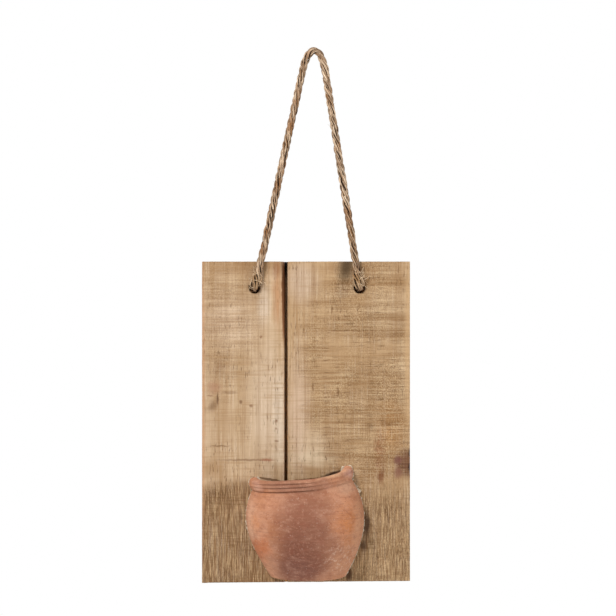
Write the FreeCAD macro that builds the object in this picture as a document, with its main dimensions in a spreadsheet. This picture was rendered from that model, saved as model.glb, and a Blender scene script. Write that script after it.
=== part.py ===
import FreeCAD, Part
import Sketcher
import math
import os
from FreeCAD import Placement, Rotation, Vector

# Wall planter: half a clay pot on a board of two planks, hung by a loop of rope.
# Millimetres. x runs to the right, -y to the front and z up.
# The origin is the middle of the upper batten's rear face, which lies on the wall.

# Sizes that can each be changed alone.
SIZES = {
    # board
    "board_height": 320,
    "left_plank_width": 82.5,
    "right_plank_width": 122.5,
    "plank_gap": 3,
    "plank_thickness": 20,
    "left_plank_overhang": 1.5,
    "joint_lap": 4,
    "wane_width": 3.4,
    "wane_depth": 9,
    "wane_length": 78,
    # battens behind the planks
    "batten_length": 168,
    "batten_height": 38,
    "batten_thickness": 22,
    "upper_batten_drop": 62,
    "lower_batten_rise": 40,
    # screws
    "screw_length": 35,
    "screw_diameter": 3.5,
    "screw_head_diameter": 7,
    "screw_head_height": 2.6,
    "screw_point_length": 5,
    "screw_sink": 0.5,
    "screw_clearance": 0.3,
    "screw_end_inset": 14,
    "screw_joint_inset": 15,
    "screw_stagger": 14,
    # rope and its holes
    "rope_diameter": 8,
    "rope_slack": 3,
    "rope_seat_gap": 0.3,
    "hole_drop": 26.5,
    "left_hole_inset": 52.5,
    "right_hole_inset": 50.5,
    "hole_mouth_round": 2,
    "edge_rise": 6,
    "edge_bend_radius": 40,
    "hook_rise": 214,
    "hook_offset": 7.7,
    "hook_standoff": 14,
    "hook_top_run": 17,
    "hook_bend_radius": 10,
    # stopper knots
    "knot_squeeze": 1.5,
    "knot_turns_apart": 7,
    "knot_tail": 16,
    # half pot
    "pot_height": 104.5,
    "pot_rise": 5.5,
    "pot_base_radius": 37.5,
    "pot_belly_radius": 59,
    "pot_belly_share": 0.575,
    "pot_neck_radius": 49.5,
    "pot_lip_reach": 3,
    "pot_lip_height": 11.5,
    "pot_wall": 8,
    "pot_floor": 9,
    "pot_base_shift": 2.2,
    "pot_lean": 7.7,
    "pot_lean_curve": 1.6,
    "pot_rim_tilt": 7,
    "pot_rim_droop": 5,
    "drain_diameter": 10,
    "drain_forward": 19,
    "bead_thickness": 1.5,
}

# Places that follow from the sizes.
PLACES = {
    "board_top": "Sizes.upper_batten_drop + Sizes.batten_height / 2",
    "board_bottom": "board_top - Sizes.board_height",
    "board_width": "Sizes.left_plank_width + Sizes.plank_gap + Sizes.right_plank_width",
    "board_left": "-board_width / 2",
    "board_right": "board_width / 2",
    "joint_left": "board_left + Sizes.left_plank_width",
    "joint_right": "joint_left + Sizes.plank_gap",
    "plank_back": "-Sizes.batten_thickness",
    "plank_front": "plank_back - Sizes.plank_thickness",
    "lower_batten_z": "board_bottom + Sizes.lower_batten_rise + Sizes.batten_height / 2",
    "left_outer_screw_x": "-Sizes.batten_length / 2 + Sizes.screw_end_inset",
    "left_inner_screw_x": "joint_left - Sizes.screw_joint_inset",
    "right_inner_screw_x": "joint_right + Sizes.screw_joint_inset",
    "right_outer_screw_x": "Sizes.batten_length / 2 - Sizes.screw_end_inset",
    "rope_radius": "Sizes.rope_diameter / 2",
    "hole_radius": "rope_radius + Sizes.rope_slack / 2",
    "hole_z": "board_top - Sizes.hole_drop",
    "left_hole_x": "board_left + Sizes.left_hole_inset",
    "right_hole_x": "board_right - Sizes.right_hole_inset",
    "fold_y": "plank_front - rope_radius - Sizes.rope_seat_gap",
    "fold_z": "hole_z + Sizes.rope_slack / 2 - Sizes.rope_seat_gap",
    "knot_ring_radius": "Sizes.rope_diameter - Sizes.knot_squeeze",
    "first_turn_y": "plank_back + rope_radius + Sizes.rope_seat_gap",
    "second_turn_y": "first_turn_y + Sizes.knot_turns_apart",
    "pot_z": "board_bottom + Sizes.pot_rise",
    "pot_belly_height": "Sizes.pot_height * Sizes.pot_belly_share",
    "pot_neck_height": "Sizes.pot_height - Sizes.pot_lip_height",
}

doc = FreeCAD.newDocument("wall_planter")
sheet = doc.addObject("Spreadsheet::Sheet", "Sizes")
for row, (alias, value) in enumerate(SIZES.items(), start=1):
    sheet.set(f"A{row}", alias)
    sheet.set(f"B{row}", str(value))
    sheet.setAlias(f"B{row}", alias)
doc.recompute()
places = doc.addObject("Spreadsheet::Sheet", "Places")
for row, (alias, formula) in enumerate(PLACES.items(), start=1):
    places.set(f"A{row}", alias)
    places.set(f"B{row}", "=" + formula)
    places.setAlias(f"B{row}", alias)
doc.recompute()


def value_of(formula):
    """The number that a formula of the sheets gives now."""
    return float(sheet.evalExpression(formula))


def bind(item, **formulas):
    """Ties properties of an object to formulas; a double underscore stands for a dot."""
    for name, formula in formulas.items():
        item.setExpression(name.replace("__", "."), formula)
    return item


def put(item, x, y, z):
    """Ties the place of an object to formulas."""
    return bind(item, Placement__Base__x=x, Placement__Base__y=y, Placement__Base__z=z)


def turn(item, axis, angle):
    """Turns a primitive whose own axis is z."""
    item.Placement = Placement(Vector(), Rotation(axis, angle))
    return item


def new_sketch(body, name, role, offset):
    """A sketch on one of the body's origin planes, moved by a placement formula."""
    plane = next(item for item in body.Origin.OriginFeatures if item.Role == role)
    sketch = body.newObject("Sketcher::SketchObject", name)
    sketch.AttachmentSupport = [(plane, "")]
    sketch.MapMode = "FlatFace"
    sketch.setExpression("AttachmentOffset", offset)
    return sketch


def level(formula):
    """A placement formula that only moves a sketch along its plane's normal."""
    return f"placement(vector(0; 0; {formula}); rotation(0; 0; 0))"


def hold(sketch, kind, point, name, formula):
    """Ties one coordinate of a sketch point, taken from the origin, to a formula."""
    index = sketch.addConstraint(
        Sketcher.Constraint(kind, -1, 1, point[0], point[1], value_of(formula)))
    sketch.renameConstraint(index, name)
    sketch.setExpression("Constraints." + name, formula)


def polygon(sketch, corners):
    """A closed outline whose corners are pairs of formulas."""
    points = [Vector(value_of(across), value_of(along), 0) for across, along in corners]
    count = len(points)
    for index in range(count):
        sketch.addGeometry(Part.LineSegment(points[index], points[(index + 1) % count]), False)
    for index in range(count):
        sketch.addConstraint(Sketcher.Constraint("Coincident", index, 2, (index + 1) % count, 1))
    for index, (across, along) in enumerate(corners):
        hold(sketch, "DistanceX", (index, 1), f"across{index}", across)
        hold(sketch, "DistanceY", (index, 1), f"along{index}", along)


def rectangle(sketch, left, right, bottom, top):
    polygon(sketch, [(left, bottom), (right, bottom), (right, top), (left, top)])


def circle(sketch, across, along, radius):
    centre = Vector(value_of(across), value_of(along), 0)
    index = sketch.addGeometry(Part.Circle(centre, Vector(0, 0, 1), value_of(radius)), False)
    hold(sketch, "DistanceX", (index, 3), f"across{index}", across)
    hold(sketch, "DistanceY", (index, 3), f"along{index}", along)
    limit = sketch.addConstraint(Sketcher.Constraint("Radius", index, value_of(radius)))
    sketch.renameConstraint(limit, f"radius{index}")
    sketch.setExpression(f"Constraints.radius{index}", radius)


def pad(body, sketch, name, length):
    feature = body.newObject("PartDesign::Pad", name)
    feature.Profile = sketch
    return bind(feature, Length=length)


def loft(body, kind, name, sections):
    feature = body.newObject("PartDesign::" + kind, name)
    feature.Profile = sections[0]
    feature.Sections = sections[1:]
    return feature


def fuse(name, pieces):
    item = doc.addObject("Part::MultiFuse", name)
    item.Shapes = pieces
    return item


def cut(name, base, tool):
    item = doc.addObject("Part::Cut", name)
    item.Base = base
    item.Tool = tool
    return item


# Screws: countersunk heads in the battens' rear faces, points in the planks.
LEFT_SCREWS = ["Places.left_outer_screw_x", "Places.left_inner_screw_x"]
RIGHT_SCREWS = ["Places.right_outer_screw_x", "Places.right_inner_screw_x"]


def screw_shape(name, across, height, spare):
    """A screw pointing to the front, or with spare room all round it the hole for one."""
    radius = f"Sizes.screw_diameter / 2 + {spare}"
    head_end = "-Sizes.screw_sink - Sizes.screw_head_height"
    point_start = "-Sizes.screw_sink - Sizes.screw_length + Sizes.screw_point_length"
    head = turn(doc.addObject("Part::Cone", name + "_head"), Vector(1, 0, 0), 90)
    bind(head, Radius1=f"Sizes.screw_head_diameter / 2 + {spare}", Radius2=radius,
         Height="Sizes.screw_head_height")
    put(head, across, "-Sizes.screw_sink", height)
    shank = turn(doc.addObject("Part::Cylinder", name + "_shank"), Vector(1, 0, 0), 90)
    bind(shank, Radius=radius, Height=f"({head_end}) - ({point_start})")
    put(shank, across, head_end, height)
    point = turn(doc.addObject("Part::Cone", name + "_point"), Vector(1, 0, 0), 90)
    bind(point, Radius1=radius, Radius2=f"Sizes.screw_diameter / 8 + {spare}",
         Height=f"Sizes.screw_point_length + {spare}")
    put(point, across, point_start, height)
    pieces = [head, shank, point]
    if spare != "0":
        mouth = turn(doc.addObject("Part::Cylinder", name + "_mouth"), Vector(1, 0, 0), 90)
        bind(mouth, Radius=f"Sizes.screw_head_diameter / 2 + {spare}", Height="Sizes.screw_sink + 1")
        put(mouth, across, "1", height)
        pieces.append(mouth)
    return fuse(name, pieces)


def screw_row(name, height):
    """The four screws of one batten, and the holes for them in the planks and the batten."""
    screws = []
    holes = {}
    for side, row in (("left", LEFT_SCREWS), ("right", RIGHT_SCREWS)):
        holes[side] = []
        for index, across in enumerate(row):
            sign = "+" if index == 0 else "-"
            along = f"{height} {sign} Sizes.screw_stagger / 2"
            screws.append(screw_shape(f"{name}_{side}_{index}", across, along, "0"))
            holes[side].append(screw_shape(f"{name}_{side}_{index}_hole", across, along,
                                           "Sizes.screw_clearance"))
    group = doc.addObject("Part::Compound", name)
    group.Links = screws
    return group, holes


upper_batten_screws, upper_holes = screw_row("upper_batten_screws", "0")
lower_batten_screws, lower_holes = screw_row("lower_batten_screws", "Places.lower_batten_z")


# Battens across the backs of the planks.
def batten(name, height, holes):
    blank = doc.addObject("PartDesign::Body", name + "_blank")
    outline = new_sketch(blank, name + "_outline", "XZ_Plane", level("0"))
    rectangle(outline, "-Sizes.batten_length / 2", "Sizes.batten_length / 2",
              f"{height} - Sizes.batten_height / 2", f"{height} + Sizes.batten_height / 2")
    pad(blank, outline, name + "_pad", "Sizes.batten_thickness")
    return cut(name, blank, fuse(name + "_screw_holes", holes["left"] + holes["right"]))


upper_batten = batten("upper_batten", "0", upper_holes)
lower_batten = batten("lower_batten", "Places.lower_batten_z", lower_holes)


# Planks: sawn boards, each with one rope hole whose mouth is eased.
def plank(name, left, right, bottom, hole_x, screw_holes, waney):
    blank = doc.addObject("PartDesign::Body", name + "_blank")
    outline = new_sketch(blank, name + "_outline", "XZ_Plane", level("-Places.plank_back"))
    rectangle(outline, left, right, bottom, "Places.board_top")
    pad(blank, outline, name + "_pad", "Sizes.plank_thickness")
    if waney:
        lap = new_sketch(blank, name + "_lap_outline", "XZ_Plane", level("-Places.plank_back"))
        rectangle(lap, f"{right} - Sizes.plank_gap", f"{right} + Sizes.plank_gap", bottom,
                  "Places.board_top")
        pad(blank, lap, name + "_lap", "Sizes.joint_lap")
        sections = []
        for part, height, share in (("top", "Places.board_top", 1),
                                    ("end", "Places.board_top - Sizes.wane_length", 0.06)):
            section = new_sketch(blank, f"{name}_wane_{part}", "XY_Plane", level(height))
            polygon(section, [
                (f"{right} - Sizes.wane_width * {share}", "Places.plank_front"),
                (right, "Places.plank_front"),
                (right, f"Places.plank_front + Sizes.wane_depth * {share}")])
            sections.append(section)
        loft(blank, "SubtractiveLoft", name + "_wane", sections)
    drilled = new_sketch(blank, name + "_hole_outline", "XZ_Plane", level("-Places.plank_front"))
    circle(drilled, hole_x, "Places.hole_z", "Places.hole_radius")
    hole = blank.newObject("PartDesign::Pocket", name + "_hole")
    hole.Profile = drilled
    bind(hole, Length="Sizes.plank_thickness")
    doc.recompute()
    mouth = next(index for index, edge in enumerate(hole.Shape.Edges, start=1)
                 if isinstance(edge.Curve, Part.Circle)
                 and abs(edge.CenterOfMass.y - value_of("Places.plank_front")) < 0.01)
    eased = blank.newObject("PartDesign::Fillet", name + "_eased_mouth")
    eased.Base = (hole, [f"Edge{mouth}"])
    bind(eased, Radius="Sizes.hole_mouth_round")
    return cut(name, blank, fuse(name + "_screw_holes", screw_holes))


left_plank = plank("left_plank", "Places.board_left", "Places.joint_left",
                   "Places.board_bottom - Sizes.left_plank_overhang", "Places.left_hole_x",
                   upper_holes["left"] + lower_holes["left"], True)
right_plank = plank("right_plank", "Places.joint_right", "Places.board_right",
                    "Places.board_bottom", "Places.right_hole_x",
                    upper_holes["right"] + lower_holes["right"], False)


# Half pot: lofted through D-shaped sections that lean, tilt and droop more towards the rim.
pot_blank = doc.addObject("PartDesign::Body", "pot_blank")
put(pot_blank, "0", "Places.plank_front", "Places.pot_z")


def pot_section(name, height, radius, behind):
    """Half a disc to the front of the board's face, with a strip behind it to be cut away."""
    share = f"({height}) / Sizes.pot_height"
    section = new_sketch(pot_blank, name, "XY_Plane",
                         f"placement(vector(Sizes.pot_base_shift"
                         f" - Sizes.pot_lean * pow({share}; Sizes.pot_lean_curve); 0; {height});"
                         f" rotation(0; -Sizes.pot_rim_tilt * {share};"
                         f" Sizes.pot_rim_droop * {share}))")
    reach = value_of(radius)
    centre = Part.Circle(Vector(), Vector(0, 0, 1), reach)
    section.addGeometry(Part.ArcOfCircle(centre, math.pi, math.pi * 1.5), False)
    section.addGeometry(Part.ArcOfCircle(centre, math.pi * 1.5, math.pi * 2), False)
    corners = [Vector(reach, 0, 0), Vector(reach, behind, 0), Vector(-reach, behind, 0),
               Vector(-reach, 0, 0)]
    for start, end in zip(corners, corners[1:]):
        section.addGeometry(Part.LineSegment(start, end), False)
    for arc in (0, 1):
        section.addConstraint(Sketcher.Constraint("Coincident", arc, 3, -1, 1))
    for geometry in range(5):
        section.addConstraint(
            Sketcher.Constraint("Coincident", geometry, 2, (geometry + 1) % 5, 1))
    section.addConstraint(Sketcher.Constraint("PointOnObject", 0, 1, -1))
    section.addConstraint(Sketcher.Constraint("PointOnObject", 1, 1, -2))
    section.addConstraint(Sketcher.Constraint("PointOnObject", 1, 2, -1))
    section.addConstraint(Sketcher.Constraint("Vertical", 2))
    section.addConstraint(Sketcher.Constraint("Horizontal", 3))
    section.addConstraint(Sketcher.Constraint("Vertical", 4))
    section.addConstraint(Sketcher.Constraint("DistanceY", -1, 1, 3, 1, behind))
    limit = section.addConstraint(Sketcher.Constraint("Radius", 0, reach))
    section.renameConstraint(limit, "radius")
    section.setExpression("Constraints.radius", radius)
    return section


def below_belly(share):
    """Height and radius at a share of the way from the base up to the belly."""
    return (f"Places.pot_belly_height * {share}",
            f"Sizes.pot_base_radius + (Sizes.pot_belly_radius - Sizes.pot_base_radius)"
            f" * sin(90 * {share})")


def above_belly(share):
    """Height and radius at a share of the way from the belly up to the neck."""
    return (f"Places.pot_belly_height"
            f" + (Places.pot_neck_height - Places.pot_belly_height) * {share}",
            f"Sizes.pot_neck_radius + (Sizes.pot_belly_radius - Sizes.pot_neck_radius)"
            f" * cos(90 * {share})")


outside = [below_belly(share) for share in (0, 0.25, 0.5, 0.75, 1)]
outside += [above_belly(share) for share in (0.35, 0.7, 1)]
outside.append(("Sizes.pot_height - 1", "Sizes.pot_neck_radius"))
loft(pot_blank, "AdditiveLoft", "pot_outside",
     [pot_section(f"outside{index}", height, radius, 3)
      for index, (height, radius) in enumerate(outside)])

lip = [(f"Sizes.pot_height - Sizes.pot_lip_height * {down}",
        f"Sizes.pot_neck_radius + Sizes.pot_lip_reach * {reach}")
       for down, reach in ((0.95, -0.4), (0.75, 0.7), (0.45, 1), (0.15, 0.8), (0, 0.2))]
loft(pot_blank, "AdditiveLoft", "pot_lip",
     [pot_section(f"lip{index}", height, radius, 4)
      for index, (height, radius) in enumerate(lip)])

inside = [("Sizes.pot_floor", "Sizes.pot_base_radius - Sizes.pot_wall * 0.6")]
inside += [(height, radius + " - Sizes.pot_wall") for height, radius in
           [below_belly(share) for share in (0.4, 0.7, 1)]
           + [above_belly(share) for share in (0.35, 0.7, 1)]]
inside.append(("Sizes.pot_height + 2", "Sizes.pot_neck_radius - Sizes.pot_wall * 0.7"))
loft(pot_blank, "SubtractiveLoft", "pot_inside",
     [pot_section(f"inside{index}", height, radius, 6)
      for index, (height, radius) in enumerate(inside)])

drain = doc.addObject("Part::Cylinder", "drain")
bind(drain, Radius="Sizes.drain_diameter / 2", Height="Sizes.pot_floor + 2")
put(drain, "Sizes.pot_base_shift", "Places.plank_front - Sizes.drain_forward", "Places.pot_z - 1")
drained_pot = cut("drained_pot", pot_blank, drain)


def slab(name, front, depth):
    """A slab across the pot's cut edge."""
    item = doc.addObject("Part::Box", name)
    bind(item, Length="Places.board_width", Width=depth, Height="Sizes.board_height")
    return put(item, "Places.board_left", front, "Places.board_bottom")


bead_front = "Places.plank_front - Sizes.bead_thickness"
half_pot = cut("half_pot", drained_pot,
               slab("behind_pot", bead_front, "Sizes.bead_thickness + Sizes.plank_thickness"))
mortar_bead = doc.addObject("Part::Common", "mortar_bead")
mortar_bead.Base = drained_pot
mortar_bead.Tool = slab("bead_bed", bead_front, "Sizes.bead_thickness")


# Rope ends: straight through the holes to the fold at the mouth, rounded there.
def rope_end(name, across):
    run = turn(doc.addObject("Part::Cylinder", name + "_run"), Vector(1, 0, 0), 90)
    bind(run, Radius="Places.rope_radius", Height="Places.plank_back - Places.fold_y")
    put(run, across, "Places.plank_back", "Places.fold_z")
    tip = doc.addObject("Part::Sphere", name + "_tip")
    bind(tip, Radius="Places.rope_radius")
    put(tip, across, "Places.fold_y", "Places.fold_z")
    return fuse(name, [run, tip])


left_rope_end = rope_end("left_rope_end", "Places.left_hole_x")
right_rope_end = rope_end("right_rope_end", "Places.right_hole_x")


# Stopper knots: two turns round a core, drawn up against the planks' backs.
def knot(name, across):
    turns = []
    for index, depth in enumerate(("Places.first_turn_y", "Places.second_turn_y")):
        ring = turn(doc.addObject("Part::Torus", f"{name}_turn{index}"), Vector(1, 0, 0), 90)
        bind(ring, Radius1="Places.knot_ring_radius", Radius2="Places.rope_radius")
        turns.append(put(ring, across, depth, "Places.fold_z"))
    core = turn(doc.addObject("Part::Cylinder", name + "_core"), Vector(1, 0, 0), 90)
    bind(core, Radius="Places.knot_ring_radius",
         Height="Sizes.knot_turns_apart + Places.rope_radius * 1.8")
    put(core, across, "Places.second_turn_y + Places.rope_radius * 0.8", "Places.fold_z")
    tail = turn(doc.addObject("Part::Cylinder", name + "_tail"), Vector(1, 0, 0), 180)
    bind(tail, Radius="Places.rope_radius", Height="Places.knot_ring_radius + Sizes.knot_tail")
    put(tail, across, "Places.first_turn_y", "Places.fold_z")
    return fuse(name, turns + [core, tail])


left_knot = knot("left_knot", "Places.left_hole_x")
right_knot = knot("right_knot", "Places.right_hole_x")


# Rope loop: up the planks' faces, over their top edge and round the hook near the wall.
def rounded_route(points, radii):
    """Straight runs joined by tangent arcs, one radius for each inner point."""
    edges = []
    start = points[0]
    for before, corner, after, radius in zip(points, points[1:], points[2:], radii):
        back = (before - corner).normalize()
        on = (after - corner).normalize()
        half_turn = (math.pi - back.getAngle(on)) / 2
        reach = radius * math.tan(half_turn)
        middle = (back + on).normalize()
        rise = radius / math.cos(half_turn) - radius
        edges.append(Part.LineSegment(start, corner + back * reach).toShape())
        edges.append(Part.Arc(corner + back * reach, corner + middle * rise,
                              corner + on * reach).toShape())
        start = corner + on * reach
        print(f"bend radius {radius:.1f} mm, turn {math.degrees(2 * half_turn):.1f} degrees")
    edges.append(Part.LineSegment(start, points[-1]).toShape())
    return Part.Wire(edges)


fold_y = value_of("Places.fold_y")
fold_z = value_of("Places.fold_z")
edge_z = value_of("Places.board_top + Sizes.edge_rise")
hook_y = -value_of("Sizes.hook_standoff")
hook_z = value_of("Places.board_top + Sizes.hook_rise")
hook_x = value_of("Sizes.hook_offset")
half_run = value_of("Sizes.hook_top_run / 2")


def side_of_loop(fold_x, sign):
    """Fold, top edge and hook corner of one leg, and the leg's first point clear of the fold."""
    fold = Vector(fold_x, fold_y, fold_z)
    corner = Vector(hook_x + sign * half_run, hook_y, hook_z)
    share = (edge_z - fold_z) / (hook_z - fold_z)
    over_edge = Vector(fold_x + (corner.x - fold_x) * share, fold_y, edge_z)
    clear = value_of("Places.rope_radius + Sizes.rope_seat_gap")
    return [fold + (over_edge - fold).normalize() * clear, over_edge, corner]


left_side = side_of_loop(value_of("Places.left_hole_x"), -1)
right_side = side_of_loop(value_of("Places.right_hole_x"), 1)
edge_radius = value_of("Sizes.edge_bend_radius")
hook_radius = value_of("Sizes.hook_bend_radius")
route = rounded_route(left_side + right_side[::-1],
                      [edge_radius, hook_radius, hook_radius, edge_radius])
rope_radius = value_of("Places.rope_radius")
heading = left_side[1] - left_side[0]
ring = Part.Wire(Part.Circle(left_side[0], heading, rope_radius).toShape())
sweep = Part.BRepOffsetAPI.MakePipeShell(route)
sweep.add(ring)
sweep.build()
sweep.makeSolid()
rope_loop = doc.addObject("Part::Feature", "rope_loop")
rope_loop.Shape = sweep.shape()

doc.recompute()
expected = math.pi * rope_radius ** 2 * route.Length
print(f"rope loop {route.Length:.1f} mm, volume {rope_loop.Shape.Volume:.0f} of {expected:.0f} mm3")

NODES = [left_plank, right_plank, upper_batten, lower_batten, upper_batten_screws,
         lower_batten_screws, half_pot, mortar_bead, rope_loop, left_rope_end, right_rope_end,
         left_knot, right_knot]
for item in doc.Objects:
    if "Invalid" in item.State or "Error" in item.State:
        raise RuntimeError(f"{item.Label} did not build: {item.State}")
os.makedirs("parts", exist_ok=True)
for item in NODES:
    if item.Shape.isNull() or not item.Shape.isValid() or not item.Shape.Solids:
        raise RuntimeError(f"{item.Label} has no valid solid")
    item.Shape.exportStep(f"parts/{item.Label}.step")
    print(f"{item.Label}: {len(item.Shape.Solids)} solids, {item.Shape.Volume / 1000:.1f} cm3")
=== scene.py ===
import math
from collections import namedtuple

import bmesh
import bpy
import numpy as np
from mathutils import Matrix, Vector, noise


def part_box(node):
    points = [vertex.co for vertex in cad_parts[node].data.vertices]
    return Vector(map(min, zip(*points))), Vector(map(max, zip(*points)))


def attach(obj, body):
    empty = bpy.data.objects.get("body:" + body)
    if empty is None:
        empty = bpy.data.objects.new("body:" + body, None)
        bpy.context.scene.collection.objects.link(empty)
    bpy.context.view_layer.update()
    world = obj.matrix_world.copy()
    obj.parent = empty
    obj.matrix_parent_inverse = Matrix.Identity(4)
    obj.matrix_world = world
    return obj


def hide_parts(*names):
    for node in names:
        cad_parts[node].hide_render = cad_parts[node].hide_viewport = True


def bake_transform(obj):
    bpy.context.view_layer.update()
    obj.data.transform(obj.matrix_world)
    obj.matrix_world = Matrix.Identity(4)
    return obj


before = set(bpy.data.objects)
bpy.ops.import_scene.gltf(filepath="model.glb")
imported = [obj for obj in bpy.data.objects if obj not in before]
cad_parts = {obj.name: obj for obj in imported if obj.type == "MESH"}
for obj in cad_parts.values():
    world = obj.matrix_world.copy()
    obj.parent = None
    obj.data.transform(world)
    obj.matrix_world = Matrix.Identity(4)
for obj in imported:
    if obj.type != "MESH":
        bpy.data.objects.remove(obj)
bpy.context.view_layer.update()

# Wall planter: half a clay pot on a board of two sawn planks, hung by a loop of jute rope.
# x runs to the right, -y to the front and z up, from the middle of the upper batten's rear face.
# Meshes and materials are worked out in millimetres, and MM turns them to the scene's metres.
MM = 0.001


def linear(colour):
    """An sRGB hex colour as linear red, green, blue and alpha."""
    shares = [int(colour[start:start + 2], 16) / 255 for start in (1, 3, 5)]
    return tuple(share / 12.92 if share <= 0.04045 else ((share + 0.055) / 1.055) ** 2.4
                 for share in shares) + (1,)


def add(tree, kind, inputs=(), **settings):
    """Adds a node with its settings, sets or links its inputs, and gives back its outputs."""
    node = tree.nodes.new(kind)
    for name, value in settings.items():
        setattr(node, name, value)
    for name, value in dict(inputs).items():
        for item in value if isinstance(value, list) else [value]:
            if isinstance(item, bpy.types.NodeSocket):
                tree.links.new(item, node.inputs[name])
            else:
                node.inputs[name].default_value = item
    return node.outputs


def new_piece(name, mesh, material=None):
    """Puts a mesh into the scene, smoothly shaded."""
    if material:
        mesh.materials.clear()
        mesh.materials.append(material)
    mesh.shade_smooth()
    piece = bpy.data.objects.new(name, mesh)
    bpy.context.scene.collection.objects.link(piece)
    return piece


def merged_copy(node, level=None):
    """A copy of a CAD node's mesh whose loose triangles are joined up, with an edge round a level."""
    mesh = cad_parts[node].data.copy()
    shell = bmesh.new()
    shell.from_mesh(mesh)
    bmesh.ops.remove_doubles(shell, verts=shell.verts, dist=0.002 * MM)
    if level:
        bmesh.ops.bisect_plane(shell, geom=shell.verts[:] + shell.edges[:] + shell.faces[:],
                               plane_co=(0, 0, level * MM), plane_no=(0, 0, 1))
    shell.to_mesh(mesh)
    shell.free()
    return mesh


def new_tree(name, sizes):
    """An empty Geometry Nodes tree with a geometry input and output and named sizes."""
    tree = bpy.data.node_groups.new(name, "GeometryNodeTree")
    tree.interface.new_socket("Geometry", in_out="INPUT", socket_type="NodeSocketGeometry")
    for label, kind in sizes.items():
        tree.interface.new_socket(label, in_out="INPUT", socket_type="NodeSocket" + kind)
    tree.interface.new_socket("Geometry", in_out="OUTPUT", socket_type="NodeSocketGeometry")
    return tree


def end_tree(tree, geometry, material):
    """Ends a tree in plain geometry with its material."""
    plain = add(tree, "GeometryNodeRealizeInstances", {"Geometry": geometry})["Geometry"]
    dressed = add(tree, "GeometryNodeSetMaterial", {"Geometry": plain, "Material": material})
    add(tree, "NodeGroupOutput", {"Geometry": dressed["Geometry"]})
    return tree


def run_tree(piece, tree, sizes):
    """Runs a Geometry Nodes tree on a piece and keeps the result as its plain mesh."""
    modifier = piece.modifiers.new(tree.name, "NODES")
    modifier.node_group = tree
    for item in tree.interface.items_tree:
        if item.in_out == "INPUT" and item.name in sizes:
            modifier[item.identifier] = sizes[item.name]
    keep_result(piece)


def keep_result(piece):
    """Turns what a piece's modifiers give into its plain mesh."""
    depsgraph = bpy.context.evaluated_depsgraph_get()
    mesh = bpy.data.meshes.new_from_object(
        piece.evaluated_get(depsgraph), preserve_all_data_layers=True, depsgraph=depsgraph)
    piece.modifiers.clear()
    piece.data = mesh
    mesh.shade_smooth()


def voxel_remesh(piece, voxel):
    """Gives a piece an even mesh of small faces, fine enough to be roughened."""
    remesh = piece.modifiers.new("remesh", "REMESH")
    remesh.mode = "VOXEL"
    remesh.voxel_size = voxel * MM


# Camera: level, straight at the board's face from 1.9 m, where one pixel shows one millimetre.
camera = bpy.data.objects.new("camera", bpy.data.cameras.new("camera"))
camera.data.lens = 111.04
camera.data.sensor_width = 36
camera.location = (0.002, -1.942, 0.0345)
camera.rotation_euler = (math.radians(90), 0, 0)
bpy.context.scene.collection.objects.link(camera)
bpy.context.scene.camera = camera


# Finishes: an even tone, patches laid on it in places, and patterns that run all over it.
Patch = namedtuple("Patch", "across up width height colour amount turn soft",
                   defaults=["#000000", 1, 0, 0.8])
Patch.__doc__ = """A soft-edged oval seen from the front: its middle and half sizes in mm, its colour,
how much of that it lays on, its turn in degrees, and the share of its radius that its edge takes.
A pattern's zone is a patch without a colour."""
Pattern = namedtuple("Pattern", "size start full colour amount height zone broken",
                     defaults=[0, None, 0])
Pattern.__doc__ = """A noise pattern: its size in mm across x, y and z, the noise values at which it
starts and is full, its colour, how much of that it lays on, its height, the patch it keeps to, and
the size in mm of the bare and covered spots that it is broken into."""
SPOT_START = 0.34
SPOT_FULL = 0.6


def new_finish(name):
    """An empty material, with object coordinates in millimetres to build it on."""
    material = bpy.data.materials.new(name)
    material.use_nodes = True
    tree = material.node_tree
    tree.nodes.clear()
    place = add(tree, "ShaderNodeVectorMath",
                {0: add(tree, "ShaderNodeTexCoord")["Object"], "Scale": 1 / MM},
                operation="SCALE")["Vector"]
    return material, tree, place


def ragged(tree, place, size, reach):
    """Coordinates shifted by a noise, so that what is drawn on them has ragged edges."""
    drift = add(tree, "ShaderNodeTexNoise", {"Vector": place, "Scale": 1 / size, "Detail": 3.0})
    centred = add(tree, "ShaderNodeVectorMath", {0: drift["Color"], 1: (0.5, 0.5, 0.5)},
                  operation="SUBTRACT")["Vector"]
    return add(tree, "ShaderNodeVectorMath", {0: centred, 1: reach, 2: place},
               operation="MULTIPLY_ADD")["Vector"]


def patch_mask(tree, place, patch, front, depth):
    """1 in the middle of a patch and 0 outside it; it sinks in by depth from the front."""
    oval = add(tree, "ShaderNodeMapping",
               {"Vector": place, "Location": (patch.across, front, patch.up),
                "Rotation": (0, math.radians(patch.turn), 0),
                "Scale": (patch.width, depth, patch.height)}, vector_type="TEXTURE")["Vector"]
    reach = add(tree, "ShaderNodeVectorMath", {0: oval}, operation="LENGTH")["Value"]
    return add(tree, "ShaderNodeMapRange",
               {"Value": reach, "From Min": 1.0, "From Max": 1 - patch.soft},
               interpolation_type="SMOOTHSTEP")["Result"]


def lay_patches(tree, place, colour, patches, front, depth):
    """Lays patches of colour over a colour."""
    for patch in patches:
        share = add(tree, "ShaderNodeMath",
                    {0: patch_mask(tree, place, patch, front, depth), 1: patch.amount},
                    operation="MULTIPLY")["Value"]
        colour = add(tree, "ShaderNodeMixRGB",
                     {"Fac": share, "Color1": colour, "Color2": linear(patch.colour)})["Color"]
    return colour


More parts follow.
